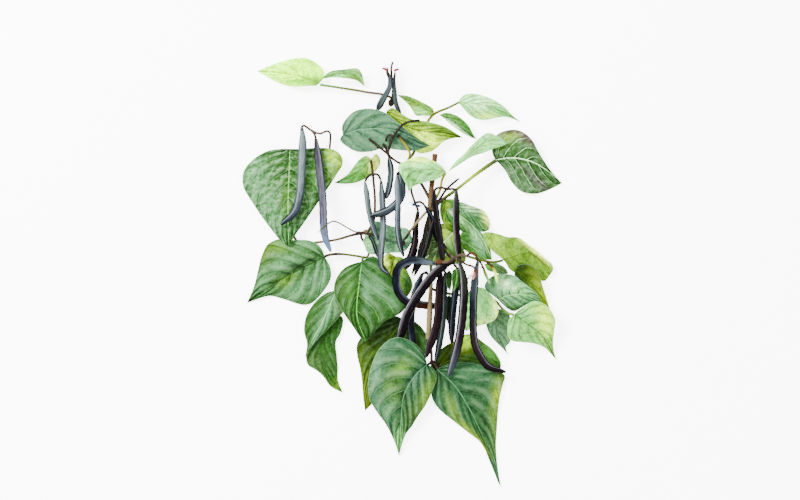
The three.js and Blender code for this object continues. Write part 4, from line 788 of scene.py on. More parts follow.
        (114, 1, 12, 8, 160, "olive", 0.35), (94, 9, 8, 5, 30, "lime_pale", 0.12),
        (136, -12, 12, 8, 140, "lime", 0.5), (138, -2, 20, 3.2, 140, "cream", 1),
        (134.5, -6, 20, 1.3, 140, "olive", 0.7),
        (125, -22, 16, 5, 170, "lime", 0.7), (104, -14, 5, 5, 0, "green", 0.5)]),
    "leaflet_right_dark": ("leaf_olive", "olive_dark", "olive", 3, 0.3, [
        (125, -21, 12, 9, 0, "olive_dark", 0.9), (126, -21, 7, 5, 0, "olive", 0.3),
        (143, -44, 7, 20, 20, "yellow", 0.9),
        (134, -36, 8, 8, 30, "lime", 0.5)]),
    "leaflet_right_teal": ("leaf_teal", "mint", "mint_pale", 5, 1, [
        # The white green patch is a painted highlight.
        (91, -32, 5, 6, 0, "teal", 0.6), (106, -35, 9, 5, 150, "white_green", 0.5),
        (112, -58, 14, 4, 175, "green", 0.95),
        (122, -40, 12, 6, 150, "mint_pale", 0.5), (88, -42, 5, 10, 0, "teal", 0.5),
        (132, -47, 10, 4, 150, "grey_green", 0.5)]),
    "leaflet_right_pale": ("leaf_lime", "green_pale", "blue_green", 5, 0.7, [
        (116, -80, 7, 12, 0, "mint", 0.45), (140, -60, 14, 6, 160, "lime", 0.4),
        (146, -72, 8, 16, 10, "lime_pale", 0.7), (151, -100, 6, 14, 10, "lime", 0.6),
        (120, -64, 8, 4, 0, "mint", 0.5)]),
    "leaflet_right_round": ("leaf_mint", "mint_pale", "mint_pale", 4, 0.2, [
        (96, -58, 4, 14, 10, "cream", 0.7), (80, -72, 14, 4, 10, "cream", 0.4),
        (74, -45, 12, 8, 0, "grey_green", 0.3), (66, -66, 6, 16, 0, "mint_pale", 0.6)]),
    "leaflet_right_hanging": ("leaf_teal", "grey_green", "brown", 3, 0.4, [
        (104, -78, 6, 16, 0, "teal", 0.5), (92, -76, 5, 12, 20, "teal_pale", 0.5),
        (104, -98, 5, 6, 30, "mint", 0.7), (98, -66, 5, 6, 0, "purple_grey", 0.35)]),
    "leaflet_right_tiny": ("leaf_green", "grey_green", "olive", 3, 0.3, [
        (86, -16, 6, 5, 0, "lime_bright", 0.95), (100, -20, 8, 4, 160, "olive_grey", 0.7)]),
    "small_leaf_front": ("leaf_green", "green_rich", "green_pale", 3, 0.5, [
        (57, -24, 4, 8, 0, "green", 0.7), (53, -36, 3, 8, 0, "green", 0.4)]),
    "small_leaf_dark": ("leaf_green", "green_dark", "green", 3, 0.4, [
        (48, -32, 3, 8, 0, "green", 0.5)]),
    "small_leaf_shaded": ("leaf_olive", "green_dark", "olive_dark", 3, 0.2, [
        (40, -114, 4, 4, 0, "bark_dark", 0.7)]),
    "small_leaf_low": ("leaf_green", "green_deep", "green_dark", 3, 0.4, [
        (48, -58, 3, 10, 0, "green", 0.6)]),
    "leaflet_centre_teal": ("leaf_teal", "teal_pale", "mint_pale", 3, 0.3, [
        (-10, 12, 14, 10, 0, "mint", 0.4), (-32, 14, 6, 12, 0, "mint_pale", 0.6)]),
}

# Paint of each pod: finish, colours from calyx to beak, the side of the painted highlight streak from
# -1 on the left to 1 on the right of a hanging pod, and its strength.
POD_PAINT = {
    "pod_left_a": ("pod_slate", ["pod_slate_light", "pod_slate_light", "pod_slate_light", "pod_slate",
                                 "pod_navy"], -0.3, 0.4),
    "pod_left_b": ("pod_slate", ["pod_plum", "pod_lavender", "pod_lavender", "pod_sky"], 0.35, 0.45),
    "pod_top_a": ("pod_slate", ["pod_black", "pod_slate", "pod_slate_green",
        "pod_slate_dark"], 0.2, 0.15),
    "pod_top_b": ("pod_slate", ["pod_slate_dark", "pod_slate_green", "pod_slate_dark"], -0.2, 0.12),
    "pod_upper_a": ("pod_slate", ["pod_slate_light", "pod_slate_green", "pod_slate"], -0.3, 0.6),
    "pod_upper_b": ("pod_slate", ["pod_slate_green", "pod_slate_light", "pod_slate_dark"], 0.1, 0.7),
    "pod_upper_c": ("pod_slate", ["pod_slate_dark", "pod_slate_green", "pod_slate_dark"], 0.1, 0.55),
    "pod_upper_d": ("pod_slate", ["pod_slate_dark", "pod_slate", "pod_purple"], -0.3, 0.5),
    "pod_upper_e": ("pod_slate", ["pod_slate_light", "pod_slate", "pod_slate_dark"], -0.3, 0.7),
    "pod_upper_f": ("pod_slate", ["pod_slate_dark", "pod_slate_dark", "pod_black"], 0.2, 0.4),
    "pod_dark_a": ("pod_maroon", ["pod_black", "pod_maroon", "pod_black"], -0.2, 0.15),
    "pod_dark_b": ("pod_maroon", ["pod_maroon", "pod_maroon", "pod_black"], 0.3, 0.2),
    "pod_dark_c": ("pod_black", ["pod_purple", "pod_purple", "pod_black"], -0.4, 0.15),
    "pod_dark_d": ("pod_black", ["pod_purple", "pod_purple", "pod_plum"], 0.3, 0.12),
    "pod_dark_e": ("pod_black", ["pod_olive", "pod_purple", "pod_maroon", "pod_black"], -0.5, 0.6),
    "pod_navy_a": ("pod_navy", ["pod_navy", "pod_navy", "pod_slate_dark"], 0.2, 0.2),
    "pod_looped": ("pod_navy", ["pod_slate_light", "pod_slate_dark", "pod_navy", "pod_navy",
        "pod_maroon",
                                "rust", "pod_maroon"], 0.5, 0.6),
    "pod_front_a": ("pod_navy", ["pod_navy", "pod_slate_dark", "pod_slate_dark"], -0.4, 0.4),
    "pod_front_b": ("pod_black", ["pod_purple", "pod_purple", "pod_black", "pod_black"], -0.5, 0.7),
    "pod_front_c": ("pod_maroon", ["pod_purple", "pod_maroon", "pod_maroon", "pod_plum"], -0.6, 0.3),
    "pod_front_d": ("pod_slate", ["pod_slate_dark", "pod_slate_green", "pod_slate_dark"], -0.1, 0.6),
    "pod_front_e": ("pod_navy", ["pod_olive", "pod_slate_dark", "pod_slate_dark",
        "pod_maroon"], -0.2, 0.2),
    "pod_front_f": ("pod_black", ["pod_olive", "pod_purple", "pod_plum", "pod_slate"], -0.35, 0.6),
    "pod_front_g": ("pod_black", ["pod_slate", "pod_slate_dark", "pod_plum", "pod_black"], 0.35, 0.4),
}

# Colours of the stems from the first point of each line to its last.
STEM_PAINT = {
    "main_stem": ["bark", "bark", "bark", "bark_pale", "bark_dark", "olive_grey", "olive_grey",
        "olive_grey", "wheat", "wheat", "wheat", "wheat"],
    "bottom_petiole": ["green", "bark_dark", "stalk_black", "bark_dark"],
    "bottom_right_petiole": ["stalk_black", "bark_dark"],
    "top_left_petiole": ["green_fresh", "stalk_green", "stalk_pink", "bark", "stalk_green", "lime"],
    "top_right_petiole": ["olive", "stalk_green", "stalk_yellow", "olive", "bark", "bark_dark",
        "bark_dark"],
    "top_pod_stalk": ["stalk_green", "bark_dark", "bark_dark", "purple_grey"],
    "centre_petiole": ["yellow", "stalk_yellow", "olive", "bark"],
    "right_petiole": ["green_dark", "olive", "yellow", "olive", "bark_dark", "bark"],
    "left_branch": ["wheat", "wheat", "bark_dark", "teal", "bark_dark", "bark_dark", "bark_pale",
                    "bark_pale", "stalk_pink", "olive", "stalk_green", "stalk_green", "stalk_pink",
                    "stalk_pink", "bark_dark", "stalk_pink", "bark_dark"],
    "left_pod_stalk": ["stalk_pink", "bark_dark"],
    "large_leaf_petiole": ["stalk_green", "green"],
    "tendril": ["bark_dark", "stalk_pink", "olive", "bark_dark", "olive"],
    "mid_leaf_petiole": ["bark_dark", "bark_dark", "stalk_green", "stalk_green", "purple_grey",
        "bark_dark"],
    "centre_leaf_petiole": ["green", "olive"],
    "brown_stalk": ["stalk_black", "bark_dark", "bark", "bark_dark"],
    "pod_arch": ["stalk_black"],
    "black_stalk": ["stalk_black"],
    "black_side_stalk": ["stalk_black"],
    "black_second_stalk": ["stalk_black"],
    "thin_brown_stalk": ["stalk_black", "bark_dark", "bark"],
    "yellow_stalk": ["stalk_black", "stalk_yellow", "stalk_yellow", "stalk_green"],
    "upper_pods_stalk": ["bark_dark", "stalk_black"],
    "upper_thin_stalk": ["bark_dark", "stalk_black"],
    "flower_stalk": ["bark_dark", "bark_dark", "stalk_black"],
    "navy_stalk": ["stalk_black"],
    "dark_b_stalk": ["bark_dark", "stalk_black"],
    "dark_c_stalk": ["bark_dark", "stalk_black"],
    "knob_stalk": ["bark_dark", "stalk_black", "stalk_black"],
    "dark_arch": ["stalk_black", "bark_dark", "bark_dark", "stalk_black"],
    "front_link": ["olive_grey", "olive_grey", "olive_grey", "olive", "bark_dark", "stalk_pink"],
    "front_stalk": ["stalk_pink", "bark_dark", "stalk_pink", "olive", "stalk_green", "olive", "green"],
    "front_b_stalk": ["bark_dark"],
    "front_f_stalk": ["bark_dark"],
    "front_g_stalk": ["bark_dark", "rust", "stalk_black"],
    "front_e_stalk": ["bark_dark"],
    "front_c_stalk": ["bark_dark"],
    "front_d_stalk": ["bark_dark"],
    "looped_stalk": ["rust", "bark_dark"],
    "front_a_stalk": ["bark_dark"],
    "remnant_stalk": ["bark_dark", "bark_dark", "rust"],
    "young_a_stalk": ["bark_dark", "rust", "lime", "mint_pale"],
    "young_b_stalk": ["bark_dark", "rust", "lime_pale", "mint_pale"],
    "right_low_petiole": ["bark_dark", "stalk_green", "stalk_green", "stalk_green", "stalk_pink",
                          "green", "olive_grey", "lime"],
    "round_leaf_petiole": ["stalk_green", "olive_grey"],
    "hanging_leaf_petiole": ["stalk_pink", "grey_green"],
    "small_front_petiole": ["bark_dark", "olive"],
    "small_dark_petiole": ["bark_dark"],
    "small_low_petiole": ["stalk_green", "green_dark"],
    "red_sepal_left": ["petal_red"],
    "red_sepal_right": ["petal_red"],
    "pink_sepal": ["stalk_pink", "petal_pink"],
    "dry_petal_long": ["rust", "petal_dry", "petal_dry"],
    "dry_petal_short": ["rust", "petal_pink", "petal_dry"],
    "dry_petal_dark": ["rust", "bark_dark", "stalk_black"],
    "navy_whisker": ["pod_navy", "stalk_pink"],
    "navy_whisker_right": ["pod_navy", "grey_green", "pod_navy"],
}

# Finishes of the leaves: strength of the painted shade in furrows and strokes, of the painted highlight
# on quilting with the painted shade in its creases, of vein lines, of the rib, and of the crumpling
# with its painted shade and highlight
LEAF_FINISHES = {
    "leaf_green": (1, 0.4, 0.4, 0.7, 0.12),
    "leaf_crumpled": (0.9, 0.4, 0.3, 0.45, 0.75),
    "leaf_veined": (0.9, 0.3, 0.55, 0.65, 0.5),
    "leaf_mint": (0.6, 0.45, 0.35, 0.5, 0.2),
    "leaf_lime": (0.7, 0.3, 0.45, 0.8, 0.2),
    "leaf_teal": (1, 0.4, 0.35, 0.4, 0.08),
    "leaf_olive": (0.7, 0.2, 0.3, 0.5, 0.2),
    "leaf_dark": (0.9, 0.35, 0.3, 0.4, 0.2),
}

# Finishes of the pods: tint of the pale fibres and of the painted highlight streak, and the strength of
# that painted highlight
POD_FINISHES = {
    "pod_slate": ((0.11, 0.14, 0.15), 1.0),
    "pod_black": ((0.06, 0.05, 0.06), 0.9),
    "pod_navy": ((0.04, 0.06, 0.09), 0.9),
    "pod_maroon": ((0.05, 0.03, 0.035), 0.9),
}

# Colour of the calyx on a pod of each finish
CALYX_COLOURS = {"pod_slate": "bark_dark", "pod_black": "stalk_black", "pod_navy": "stalk_black",
                 "pod_maroon": "stalk_black"}


def light_of(code):
    """The share of the studio light that a surface gives back to be shown in this colour."""
    shown = np.array([code >> 16 & 255, code >> 8 & 255, code & 255]) / 255
    flat = shown + (shown.mean() - shown) * VIEW_FLATTEN
    light = np.exp(np.interp(flat, SHOWN, np.log(LIGHT)))
    light += (light - light.mean()) * VIEW_FLATTEN / (1 - VIEW_FLATTEN)
    return tuple(float(share) for share in np.clip(light / STUDIO_LIGHT, DARKEST, PALEST))


def colour_property(name, code):
    """A colour of the palette that a user can change."""
    label = name.replace("_", " ")
    return bpy.props.FloatVectorProperty(
        name=label.capitalize(), description=f"Colour of the {label} areas", subtype="COLOR",
        size=3, min=0, max=1, default=light_of(code))


class BeanSprayColours(bpy.types.PropertyGroup):
    """Colours of the leaflets, pods and stems."""

    __annotations__ = {name: colour_property(name, code) for name, code in PALETTE.items()}


class BeanSpraySizes(bpy.types.PropertyGroup):
    """Sizes that shape the leaflets, pods and stems."""

    blade_thickness: bpy.props.FloatProperty(
        name="Blade thickness", description="Thickness of a leaflet at its rib", default=0.0008,
        min=0.0003, unit="LENGTH")
    quilt_height: bpy.props.FloatProperty(
        name="Quilting", description="Height of the leaf between two veins", default=0.0019,
        min=0, unit="LENGTH")
    margin_wave: bpy.props.FloatProperty(
        name="Margin wave", description="Height of the waves along a leaf's margin", default=0.0006,
        min=0, unit="LENGTH")
    pod_flatness: bpy.props.FloatProperty(
        name="Pod flatness", description="Depth of a pod as a share of its width", default=0.8,
        min=0.3, max=1, subtype="FACTOR")
    blade_roughness: bpy.props.FloatProperty(
        name="Leaf roughness", description="Dullness of the leaf surface", default=0.55,
        min=0, max=1, subtype="FACTOR")
    pod_roughness: bpy.props.FloatProperty(
        name="Pod roughness", description="Dullness of the pod skin", default=0.36,
        min=0, max=1, subtype="FACTOR")
    floor_shade: bpy.props.FloatProperty(
        name="Floor shade", description="How pale the floor is", default=0.93,
        min=0, max=1, subtype="FACTOR")
    floor_glow: bpy.props.FloatProperty(
        name="Floor glow", description="Light that comes through the floor, as from a light table",
        default=4.5, min=0)


def colour(name):
    """A palette colour as an array."""
    return np.array(getattr(bpy.context.scene.bean_spray_colours, name))


def sizes():
    """The size settings."""
    return bpy.context.scene.bean_spray_sizes


class Wire:
    """A socket of a finish, so that sums on it are written as Python expressions."""

    def __init__(self, finish, socket):
        self.finish = finish
        self.socket = socket

    def sum(self, operation, *values):
        return self.finish.add("ShaderNodeMath", {"operation": operation}, dict(enumerate(values)))

    def __add__(self, other):
        return self.sum("ADD", self, other)

    __radd__ = __add__

    def __sub__(self, other):
        return self.sum("SUBTRACT", self, other)

    def __rsub__(self, other):
        return self.sum("SUBTRACT", other, self)

    def __mul__(self, other):
        return self.sum("MULTIPLY", self, other)

    __rmul__ = __mul__

    def __abs__(self):
        return self.sum("ABSOLUTE", self)

    def part(self):
        """What is left above the whole number."""
        return self.sum("FRACT", self)

    def least(self, other):
        return self.sum("MINIMUM", self, other)

    def ramp(self, low, high):
        """0 at low, 1 at high and smooth between."""
        return self.finish.add("ShaderNodeMapRange", {"interpolation_type": "SMOOTHSTEP"},
                               {"Value": self, "From Min": low, "From Max": high})

    def near(self, full, gone):
        """1 up to full, 0 from gone on and smooth between."""
        return 1 - self.ramp(full, gone)

    def band(self, rise, top, fall):
        """0 at rise, 1 at top and 0 again at fall."""
        return self.ramp(rise, top) * self.near(top, fall)


class Finish:
    """A material under construction."""

    def __init__(self, name):
        self.material = bpy.data.materials.new(name)
        self.material.use_nodes = True
        self.tree = self.material.node_tree
        self.shader = self.tree.nodes["Principled BSDF"]

    def connect(self, socket, value):
        """Links a wire to a socket, or sets the socket to a plain value."""
        if isinstance(value, Wire):
            self.tree.links.new(value.socket, socket)
        elif hasattr(value, "__len__") and socket.type == "RGBA":
            socket.default_value = (*value, 1)[:4]
        else:
            socket.default_value = value

    def add(self, kind, settings, inputs, output=0):
        """A node of this kind with its settings and inputs, as the wire of one of its outputs."""
        node = self.tree.nodes.new(kind)
        for name, value in settings.items():
            setattr(node, name, value)
        for name, value in inputs.items():
            self.connect(node.inputs[name], value)
        return Wire(self, node.outputs[output])

    def value(self, name):
        """A number that the mesh carries at its points."""
        return self.add("ShaderNodeAttribute", {"attribute_name": name}, {}, "Fac")

    def colour(self, name):
        """A colour that the mesh carries at its points."""
        return self.add("ShaderNodeAttribute", {"attribute_name": name}, {}, "Color")

    def vector(self, x, y, z):
        return self.add("ShaderNodeCombineXYZ", {}, {0: x, 1: y, 2: z})

    def place(self):
        """The place on the object, in metres."""
        return self.add("ShaderNodeTexCoord", {}, {}, "Object")

    def moved(self, place, shift):
        return self.add("ShaderNodeMapping", {}, {"Vector": place, "Location": shift})

    def noise(self, place, scale, detail=3, roughness=0.5):
        inputs = {"Vector": place, "Scale": scale, "Detail": detail, "Roughness": roughness}
        return self.add("ShaderNodeTexNoise", {}, inputs)

    def cells(self, place, scale):
        """Distance to the edge of the nearest cell."""
        settings = {"feature": "DISTANCE_TO_EDGE"}
        return self.add("ShaderNodeTexVoronoi", settings, {"Vector": place, "Scale": scale})

    def mix(self, low, high, share, blend="MIX"):
        settings = {"data_type": "RGBA", "blend_type": blend}
        return self.add("ShaderNodeMix", settings, {0: share, 6: low, 7: high}, 2)

    def stained(self, tint, stain):
        """A tint multiplied by a stain."""
        return self.mix(tint, stain, 1, "MULTIPLY")

    def coats(self, paint, *coats):
        """Paint under coats of a tint and its share, from the first to the last."""
        for tint, share in coats:
            paint = self.mix(paint, tint, share)
        return paint

    def bump(self, height, depth, strength):
        inputs = {"Height": height, "Distance": depth, "Strength": strength}
        self.connect(self.shader.inputs["Normal"], self.add("ShaderNodeBump", {}, inputs))

    def surface(self, paint, roughness, gloss, **constants):
        """Sets the shader's colour, roughness and the values that are the same all over."""
        self.connect(self.shader.inputs["Base Color"], paint)
        self.connect(self.shader.inputs["Roughness"], roughness)
        self.connect(self.shader.inputs["Specular IOR Level"], gloss)
        for name, value in constants.items():
            self.connect(self.shader.inputs[name.replace("_", " ")], value)
        return self.material


def leaf_finish(name, furrow_shade_strength, quilt_highlight_and_crease_shade, line_strength, rib_strength, crumple):
    """A leaf skin: painted tint, painted highlights on the quilting, the crumpling and the margin,
    painted shade in furrows by the rib, in strokes and creases and on the crumpling, veins and a fine
    net.
    """
    finish = Finish(name)
    place = finish.place()
    tint = finish.colour("tint")
    vein_tint = finish.colour("vein_tint")
    across = abs(finish.value("across_mm"))
    margin = finish.value("margin_mm")
    relief = finish.value("relief")
    wash = finish.noise(place, WASH_SCALE, 3, 0.6)
    mottle = finish.noise(place, MOTTLE_SCALE, 4, 0.6)
    grain = finish.noise(place, LEAF_GRAIN_SCALE, 2)
    net = finish.cells(place, NET_SCALE).near(0.0, 0.09)
    # Slopes of the crumpling noise: painted as shade on one side of each fold and as highlight on the
    # other, as if lit from one side, and also fed to the bump.
    folds = finish.noise(place, CRUMPLE_SCALE, 3, 0.55)
    slope = folds - finish.noise(finish.moved(place, CRUMPLE_SHIFT), CRUMPLE_SCALE, 3, 0.55)
    cell = (finish.value("vein_phase") + wash * 0.3).part()
    to_vein = cell.least(1 - cell) * finish.value("vein_pitch_mm")
    line = to_vein.near(0.1, 0.5) * margin.ramp(1.5, 9) * mottle.ramp(0.25, 0.5)
    rib = across.near(0.25, 0.8)
    # Painted shade in the furrows beside the rib, and in dark strokes by the veins near the rib, which
    # the bump also sinks.
    furrow_shade = cell.band(0.0, 0.1, 0.55) * across.near(3, 14) * mottle.ramp(0.3, 0.55)
    stroke = (cell + across * 0.03 + mottle * 0.9).near(0.6, 0.7) * across.ramp(0.4, 1.1)
    # Painted shade in the creases by the veins near the margin, which the bump also sinks.
    crease = to_vein.near(0.2, 1.1) * margin.near(4, 12) * margin.ramp(0.3, 1.5)
    # Bulge of each quilt between two veins, painted with a highlight and raised by the bump.
    quilt = cell.band(0.3, 0.72, 1.0) * across.ramp(2, 9) * margin.ramp(0.5, 5) * wash.ramp(0.3, 0.6)
    deep = finish.stained(tint, LEAF_DEEP)
    shadow = finish.stained(tint, LEAF_SHADOW)
    light = finish.stained(tint, LEAF_LIGHT)
    # Painted highlight tint, for the lit slopes of the crumpling, the bulge of each quilt and the
    # margin.
    pale = finish.mix(tint, LEAF_HIGHLIGHT, 0.6)
    paint = finish.coats(
        tint,
        (deep, (mottle.ramp(0.48, 0.6) * 0.5) + (wash.ramp(0.5, 0.6) * 0.45)),
        (light, (mottle.ramp(0.48, 0.3) * 0.4) + (net * 0.2)),
        (deep, slope.ramp(0.03, 0.1) * relief * crumple),
        (pale, slope.ramp(-0.03, -0.12) * relief * crumple * 0.6),
        (shadow, furrow_shade * relief * furrow_shade_strength * 0.7),
        (pale, quilt * relief * quilt_highlight_and_crease_shade),
        (shadow, stroke * relief * furrow_shade_strength),
        (shadow, crease * relief * quilt_highlight_and_crease_shade * 1.8),
        (vein_tint, line * line_strength),
        (vein_tint, rib * rib_strength * mottle.ramp(0.3, 0.5)),
        # Painted highlight along the margin.
        (pale, margin.near(0.15, 0.8) * 0.45))
    height = quilt * 0.5 + mottle * 0.25 + grain * 0.1 - slope * crumple * 1.5
    height = height - line * 0.55 - rib * 0.8 - crease * 0.6
    finish.bump(height - net * 0.12 - stroke * 0.4, LEAF_BUMP, 0.7)
    return finish.surface(paint, sizes().blade_roughness + mottle * 0.18 - 0.09, DULL_GLOSS)


def pod_finish(name, fibre_and_highlight_tint, highlight_strength):
    """A pod skin: tint from calyx to beak, painted shade on the flanks, a pale painted highlight streak
    with a thin painted highlight line nearer the edge, and fine long fibres.
    """
    finish = Finish(name)
    tint = finish.colour("tint")
    side = finish.value("side")
    above = finish.value("above")
    length = finish.value("along_mm")
    streak_side = finish.value("streak_side")
    streak = finish.value("streak")
    fibres = finish.noise(finish.vector(side * 2.2, above * 2.2, length * 0.045), 2.6, 4, 0.65)
    drift = finish.noise(finish.vector(side * 0.8, above * 0.8, length * 0.03), 1.7, 2)
    pores = finish.noise(finish.place(), POD_GRAIN_SCALE, 2)
    # Painted highlight: a pale streak down the upper side of the pod, and a thin raised seam line
    # painted as a highlight nearer the edge.
    shine = abs(side - streak_side).near(0.03, 0.24) * above.ramp(0.0, 0.3) * drift.ramp(0.36, 0.56)
    # Painted shade on the flanks of the pod.
    flank_shade = abs(side).ramp(0.5, 0.92)
    seam_highlight = abs(side - streak_side * 1.6).near(0.03, 0.1) * above.ramp(-0.2, 0.2)
    seam_highlight = seam_highlight * drift.ramp(0.3, 0.5)
    deep = finish.stained(tint, POD_DEEP)
    pale = finish.mix(tint, fibre_and_highlight_tint, 0.7)
    paint = finish.coats(
        tint,
        (deep, fibres.ramp(0.44, 0.56) * 0.8),
        (pale, fibres.ramp(0.42, 0.3) * 0.3),
        (deep, pores.ramp(0.48, 0.62) * 0.3),
        (deep, flank_shade * 0.9),
        (pale, shine * streak * highlight_strength),
        (POD_SEAM_HIGHLIGHT, seam_highlight * streak))
    finish.bump(fibres * 0.5 + pores * 0.12 + seam_highlight * 0.6, POD_BUMP, 0.4)
    return finish.surface(paint, sizes().pod_roughness + fibres * 0.25 - 0.1, POD_GLOSS)


def stem_finish(name):
    """Stem bark: tint along the stem, long fibres, painted shade on one flank and small pale pores."""
    finish = Finish(name)
    tint = finish.colour("tint")
    side = finish.value("side")
    above = finish.value("above")
    length = finish.value("along_mm")
    fibres = finish.noise(finish.vector(side * 3, above * 3, length * 0.1), 2.4, 4, 0.7)
    pores = finish.cells(finish.vector(side * 1.2, above * 1.2, length * 0.35), 1.6).near(0.0, 0.1)
    grain = finish.noise(finish.place(), BARK_GRAIN_SCALE, 3)
    deep = finish.stained(tint, BARK_DEEP)
    pale = finish.mix(tint, BARK_PALE, 0.5)
    paint = finish.coats(
        tint,
        (deep, fibres.ramp(0.5, 0.72) * 0.6),
        (pale, fibres.ramp(0.48, 0.28) * 0.45),
        # Painted shade on one flank of the stem.
        (deep, side.ramp(0.35, 1.0) * 0.5),
        (pale, pores * 0.15))
    finish.bump(fibres * 0.6 + grain * 0.25 - pores * 0.3, BARK_BUMP, 0.6)
    return finish.surface(paint, BARK_ROUGHNESS + fibres * 0.25 - 0.1, DULL_GLOSS)


def plain_finish(name):
    """Small dry parts such as calyxes, buds and flower remnants: tint with fine wrinkles."""
    finish = Finish(name)
    tint = finish.colour("tint")
    place = finish.place()
    wrinkles = finish.noise(place, WRINKLE_SCALE, 4, 0.6)
    spots = finish.noise(place, SPOT_SCALE, 2)
    paint = finish.coats(
        tint,
        (finish.stained(tint, DRY_DEEP), wrinkles.ramp(0.45, 0.75) * 0.6),
        (finish.mix(tint, DRY_PALE, 0.4), spots.ramp(0.55, 0.3) * 0.35))
    finish.bump(wrinkles, DRY_BUMP, 0.5)
    return finish.surface(paint, DRY_ROUGHNESS + wrinkles * 0.3 - 0.1, DULL_GLOSS)


def floor_finish():
    """Plain pale paper."""
    finish = Finish("floor_paper")
    shade = sizes().floor_shade
    grain = finish.noise(finish.place(), FLOOR_GRAIN_SCALE, 4)
    paint = finish.mix((shade, shade, shade), [shade * share for share in FLOOR_SPECK], grain)
    return finish.surface(paint, FLOOR_ROUGHNESS, FLOOR_GLOSS, Emission_Color=(1, 1, 1),
                          Emission_Strength=sizes().floor_glow)


def curve_through(points, shares):
    """Points at these shares of the length of the smooth curve through the given points."""
    spots = np.array([(*point, 0)[:3] for point in points], float)
    line = np.vstack([2 * spots[0] - spots[1], spots, 2 * spots[-1] - spots[-2]])
    steps = np.linspace(0, 1, CURVE_STEPS, endpoint=False)[:, None]
    dense = []
    for index in range(len(spots) - 1):
        before, start, end, after = line[index:index + 4]
        gap_in, gap, gap_out = np.sqrt(np.linalg.norm(np.diff(line[index:index + 4], axis=0), axis=1))
        straight = (end - start) / gap
        leave = ((start - before) / gap_in - (end - before) / (gap_in + gap) + straight) * gap
        arrive = (straight - (after - start) / (gap + gap_out) + (after - end) / gap_out) * gap
        cube = 2 * start - 2 * end + leave + arrive
        square = 3 * end - 3 * start - 2 * leave - arrive
        dense.append(start + leave * steps + square * steps ** 2 + cube * steps ** 3)
    dense = np.vstack([*dense, spots[-1:]])
    travelled = np.concatenate([[0], np.cumsum(np.linalg.norm(np.diff(dense, axis=0), axis=1))])
    wanted = np.asarray(shares) * travelled[-1]
    places = np.stack([np.interp(wanted, travelled, dense[:, axis]) for axis in range(3)], axis=1)
    return places, travelled[-1]


def colours_along(names, shares):
    """Palette colours blended evenly over the shares of a length."""
    stops = np.array([colour(name) for name in names])
    places = np.linspace(0, 1, len(stops))
    return np.stack([np.interp(shares, places, stops[:, axis]) for axis in range(3)], axis=1)


class Skin:
    """Points, faces and the values that they carry, gathered into one mesh."""

    def __init__(self):
        self.points = []
        self.faces = []
        self.values = {}
        self.count = 0

    def add(self, points, faces, **values):
        """Adds points in millimetres and faces that count from the first of them. A value is one
        for all of the points or one for each, and a colour where its name ends with tint."""
        self.faces.extend([tuple(corner + self.count for corner in face) for face in faces])
        self.points.append(points)
        self.count += len(points)
        for name, value in values.items():
            shape = (len(points), 3) if name.endswith("tint") else (len(points),)
            self.values.setdefault(name, []).append(np.broadcast_to(value, shape))

    def piece(self, name, finish):
        """The object made of all that was added."""
        points = np.vstack(self.points) * MM + (shift_x, shift_y, 0)
        mesh = bpy.data.meshes.new(name)
        mesh.from_pydata(points.tolist(), [], self.faces)
        for value_name, arrays in self.values.items():
            data = np.concatenate(arrays)
            if data.ndim == 2:
                layer = mesh.attributes.new(value_name, "FLOAT_COLOR", "POINT")
                full = np.hstack([data, np.ones((len(data), 1))])
                layer.data.foreach_set("color", full.astype(np.float32).ravel())
            else:
                layer = mesh.attributes.new(value_name, "FLOAT", "POINT")
                layer.data.foreach_set("value", data.astype(np.float32))
        mesh.validate()
        mesh.shade_smooth()
        mesh.materials.append(finish)
        piece = bpy.data.objects.new(name, mesh)
        bpy.context.scene.collection.objects.link(piece)
        return piece


def grid_faces(rows, columns, first=0, around=False):
    """Four-cornered faces between neighbouring points of a grid, closed round each row if asked."""
    faces = []
    for row in range(rows - 1):
        for column in range(columns if around else columns - 1):
            near = first + row * columns
            far = near + columns
            following = (column + 1) % columns
            faces.append((near + column, near + following, far + following, far + column))
    return faces


def ring_faces(rows, sides):
    """Faces of a row of rings that a point closes at each end, after the points of the rings."""
    count = rows * sides
    last = count - sides
    faces = grid_faces(rows, sides, around=True)
    faces += [(count, (side + 1) % sides, side) for side in range(sides)]
    faces += [(count + 1, last + side, last + (side + 1) % sides) for side in range(sides)]
    return faces


def turns_round(sides):
    """The angle of each corner of a ring."""
    return np.arange(sides) / sides * 2 * np.pi


def axes_along(direction):
    """The level and the upright axis across each direction, after its own."""
    ahead = direction / np.linalg.norm(direction, axis=1)[:, None]
    sideways = np.stack([-ahead[:, 1], ahead[:, 0], np.zeros(len(ahead))], axis=1)
    sideways /= np.maximum(np.linalg.norm(sideways, axis=1), TINY)[:, None]
    return ahead, sideways, np.cross(ahead, sideways)


def blade_paint(points, base, patches):
    """The blade's own colour under its soft patches, at each point."""
    tint = np.repeat(colour(base)[None], len(points), axis=0)
    for x, y, long, wide, turn, name, strength in patches:
        angle = np.radians(turn)
        east = points[:, 0] - x
        north = points[:, 1] - y
        forward = east * np.cos(angle) + north * np.sin(angle)
        aside = north * np.cos(angle) - east * np.sin(angle)
        share = strength * np.exp(-(forward / long) ** 2 - (aside / wide) ** 2)
        tint += (colour(name) - tint) * share[:, None]
    return tint


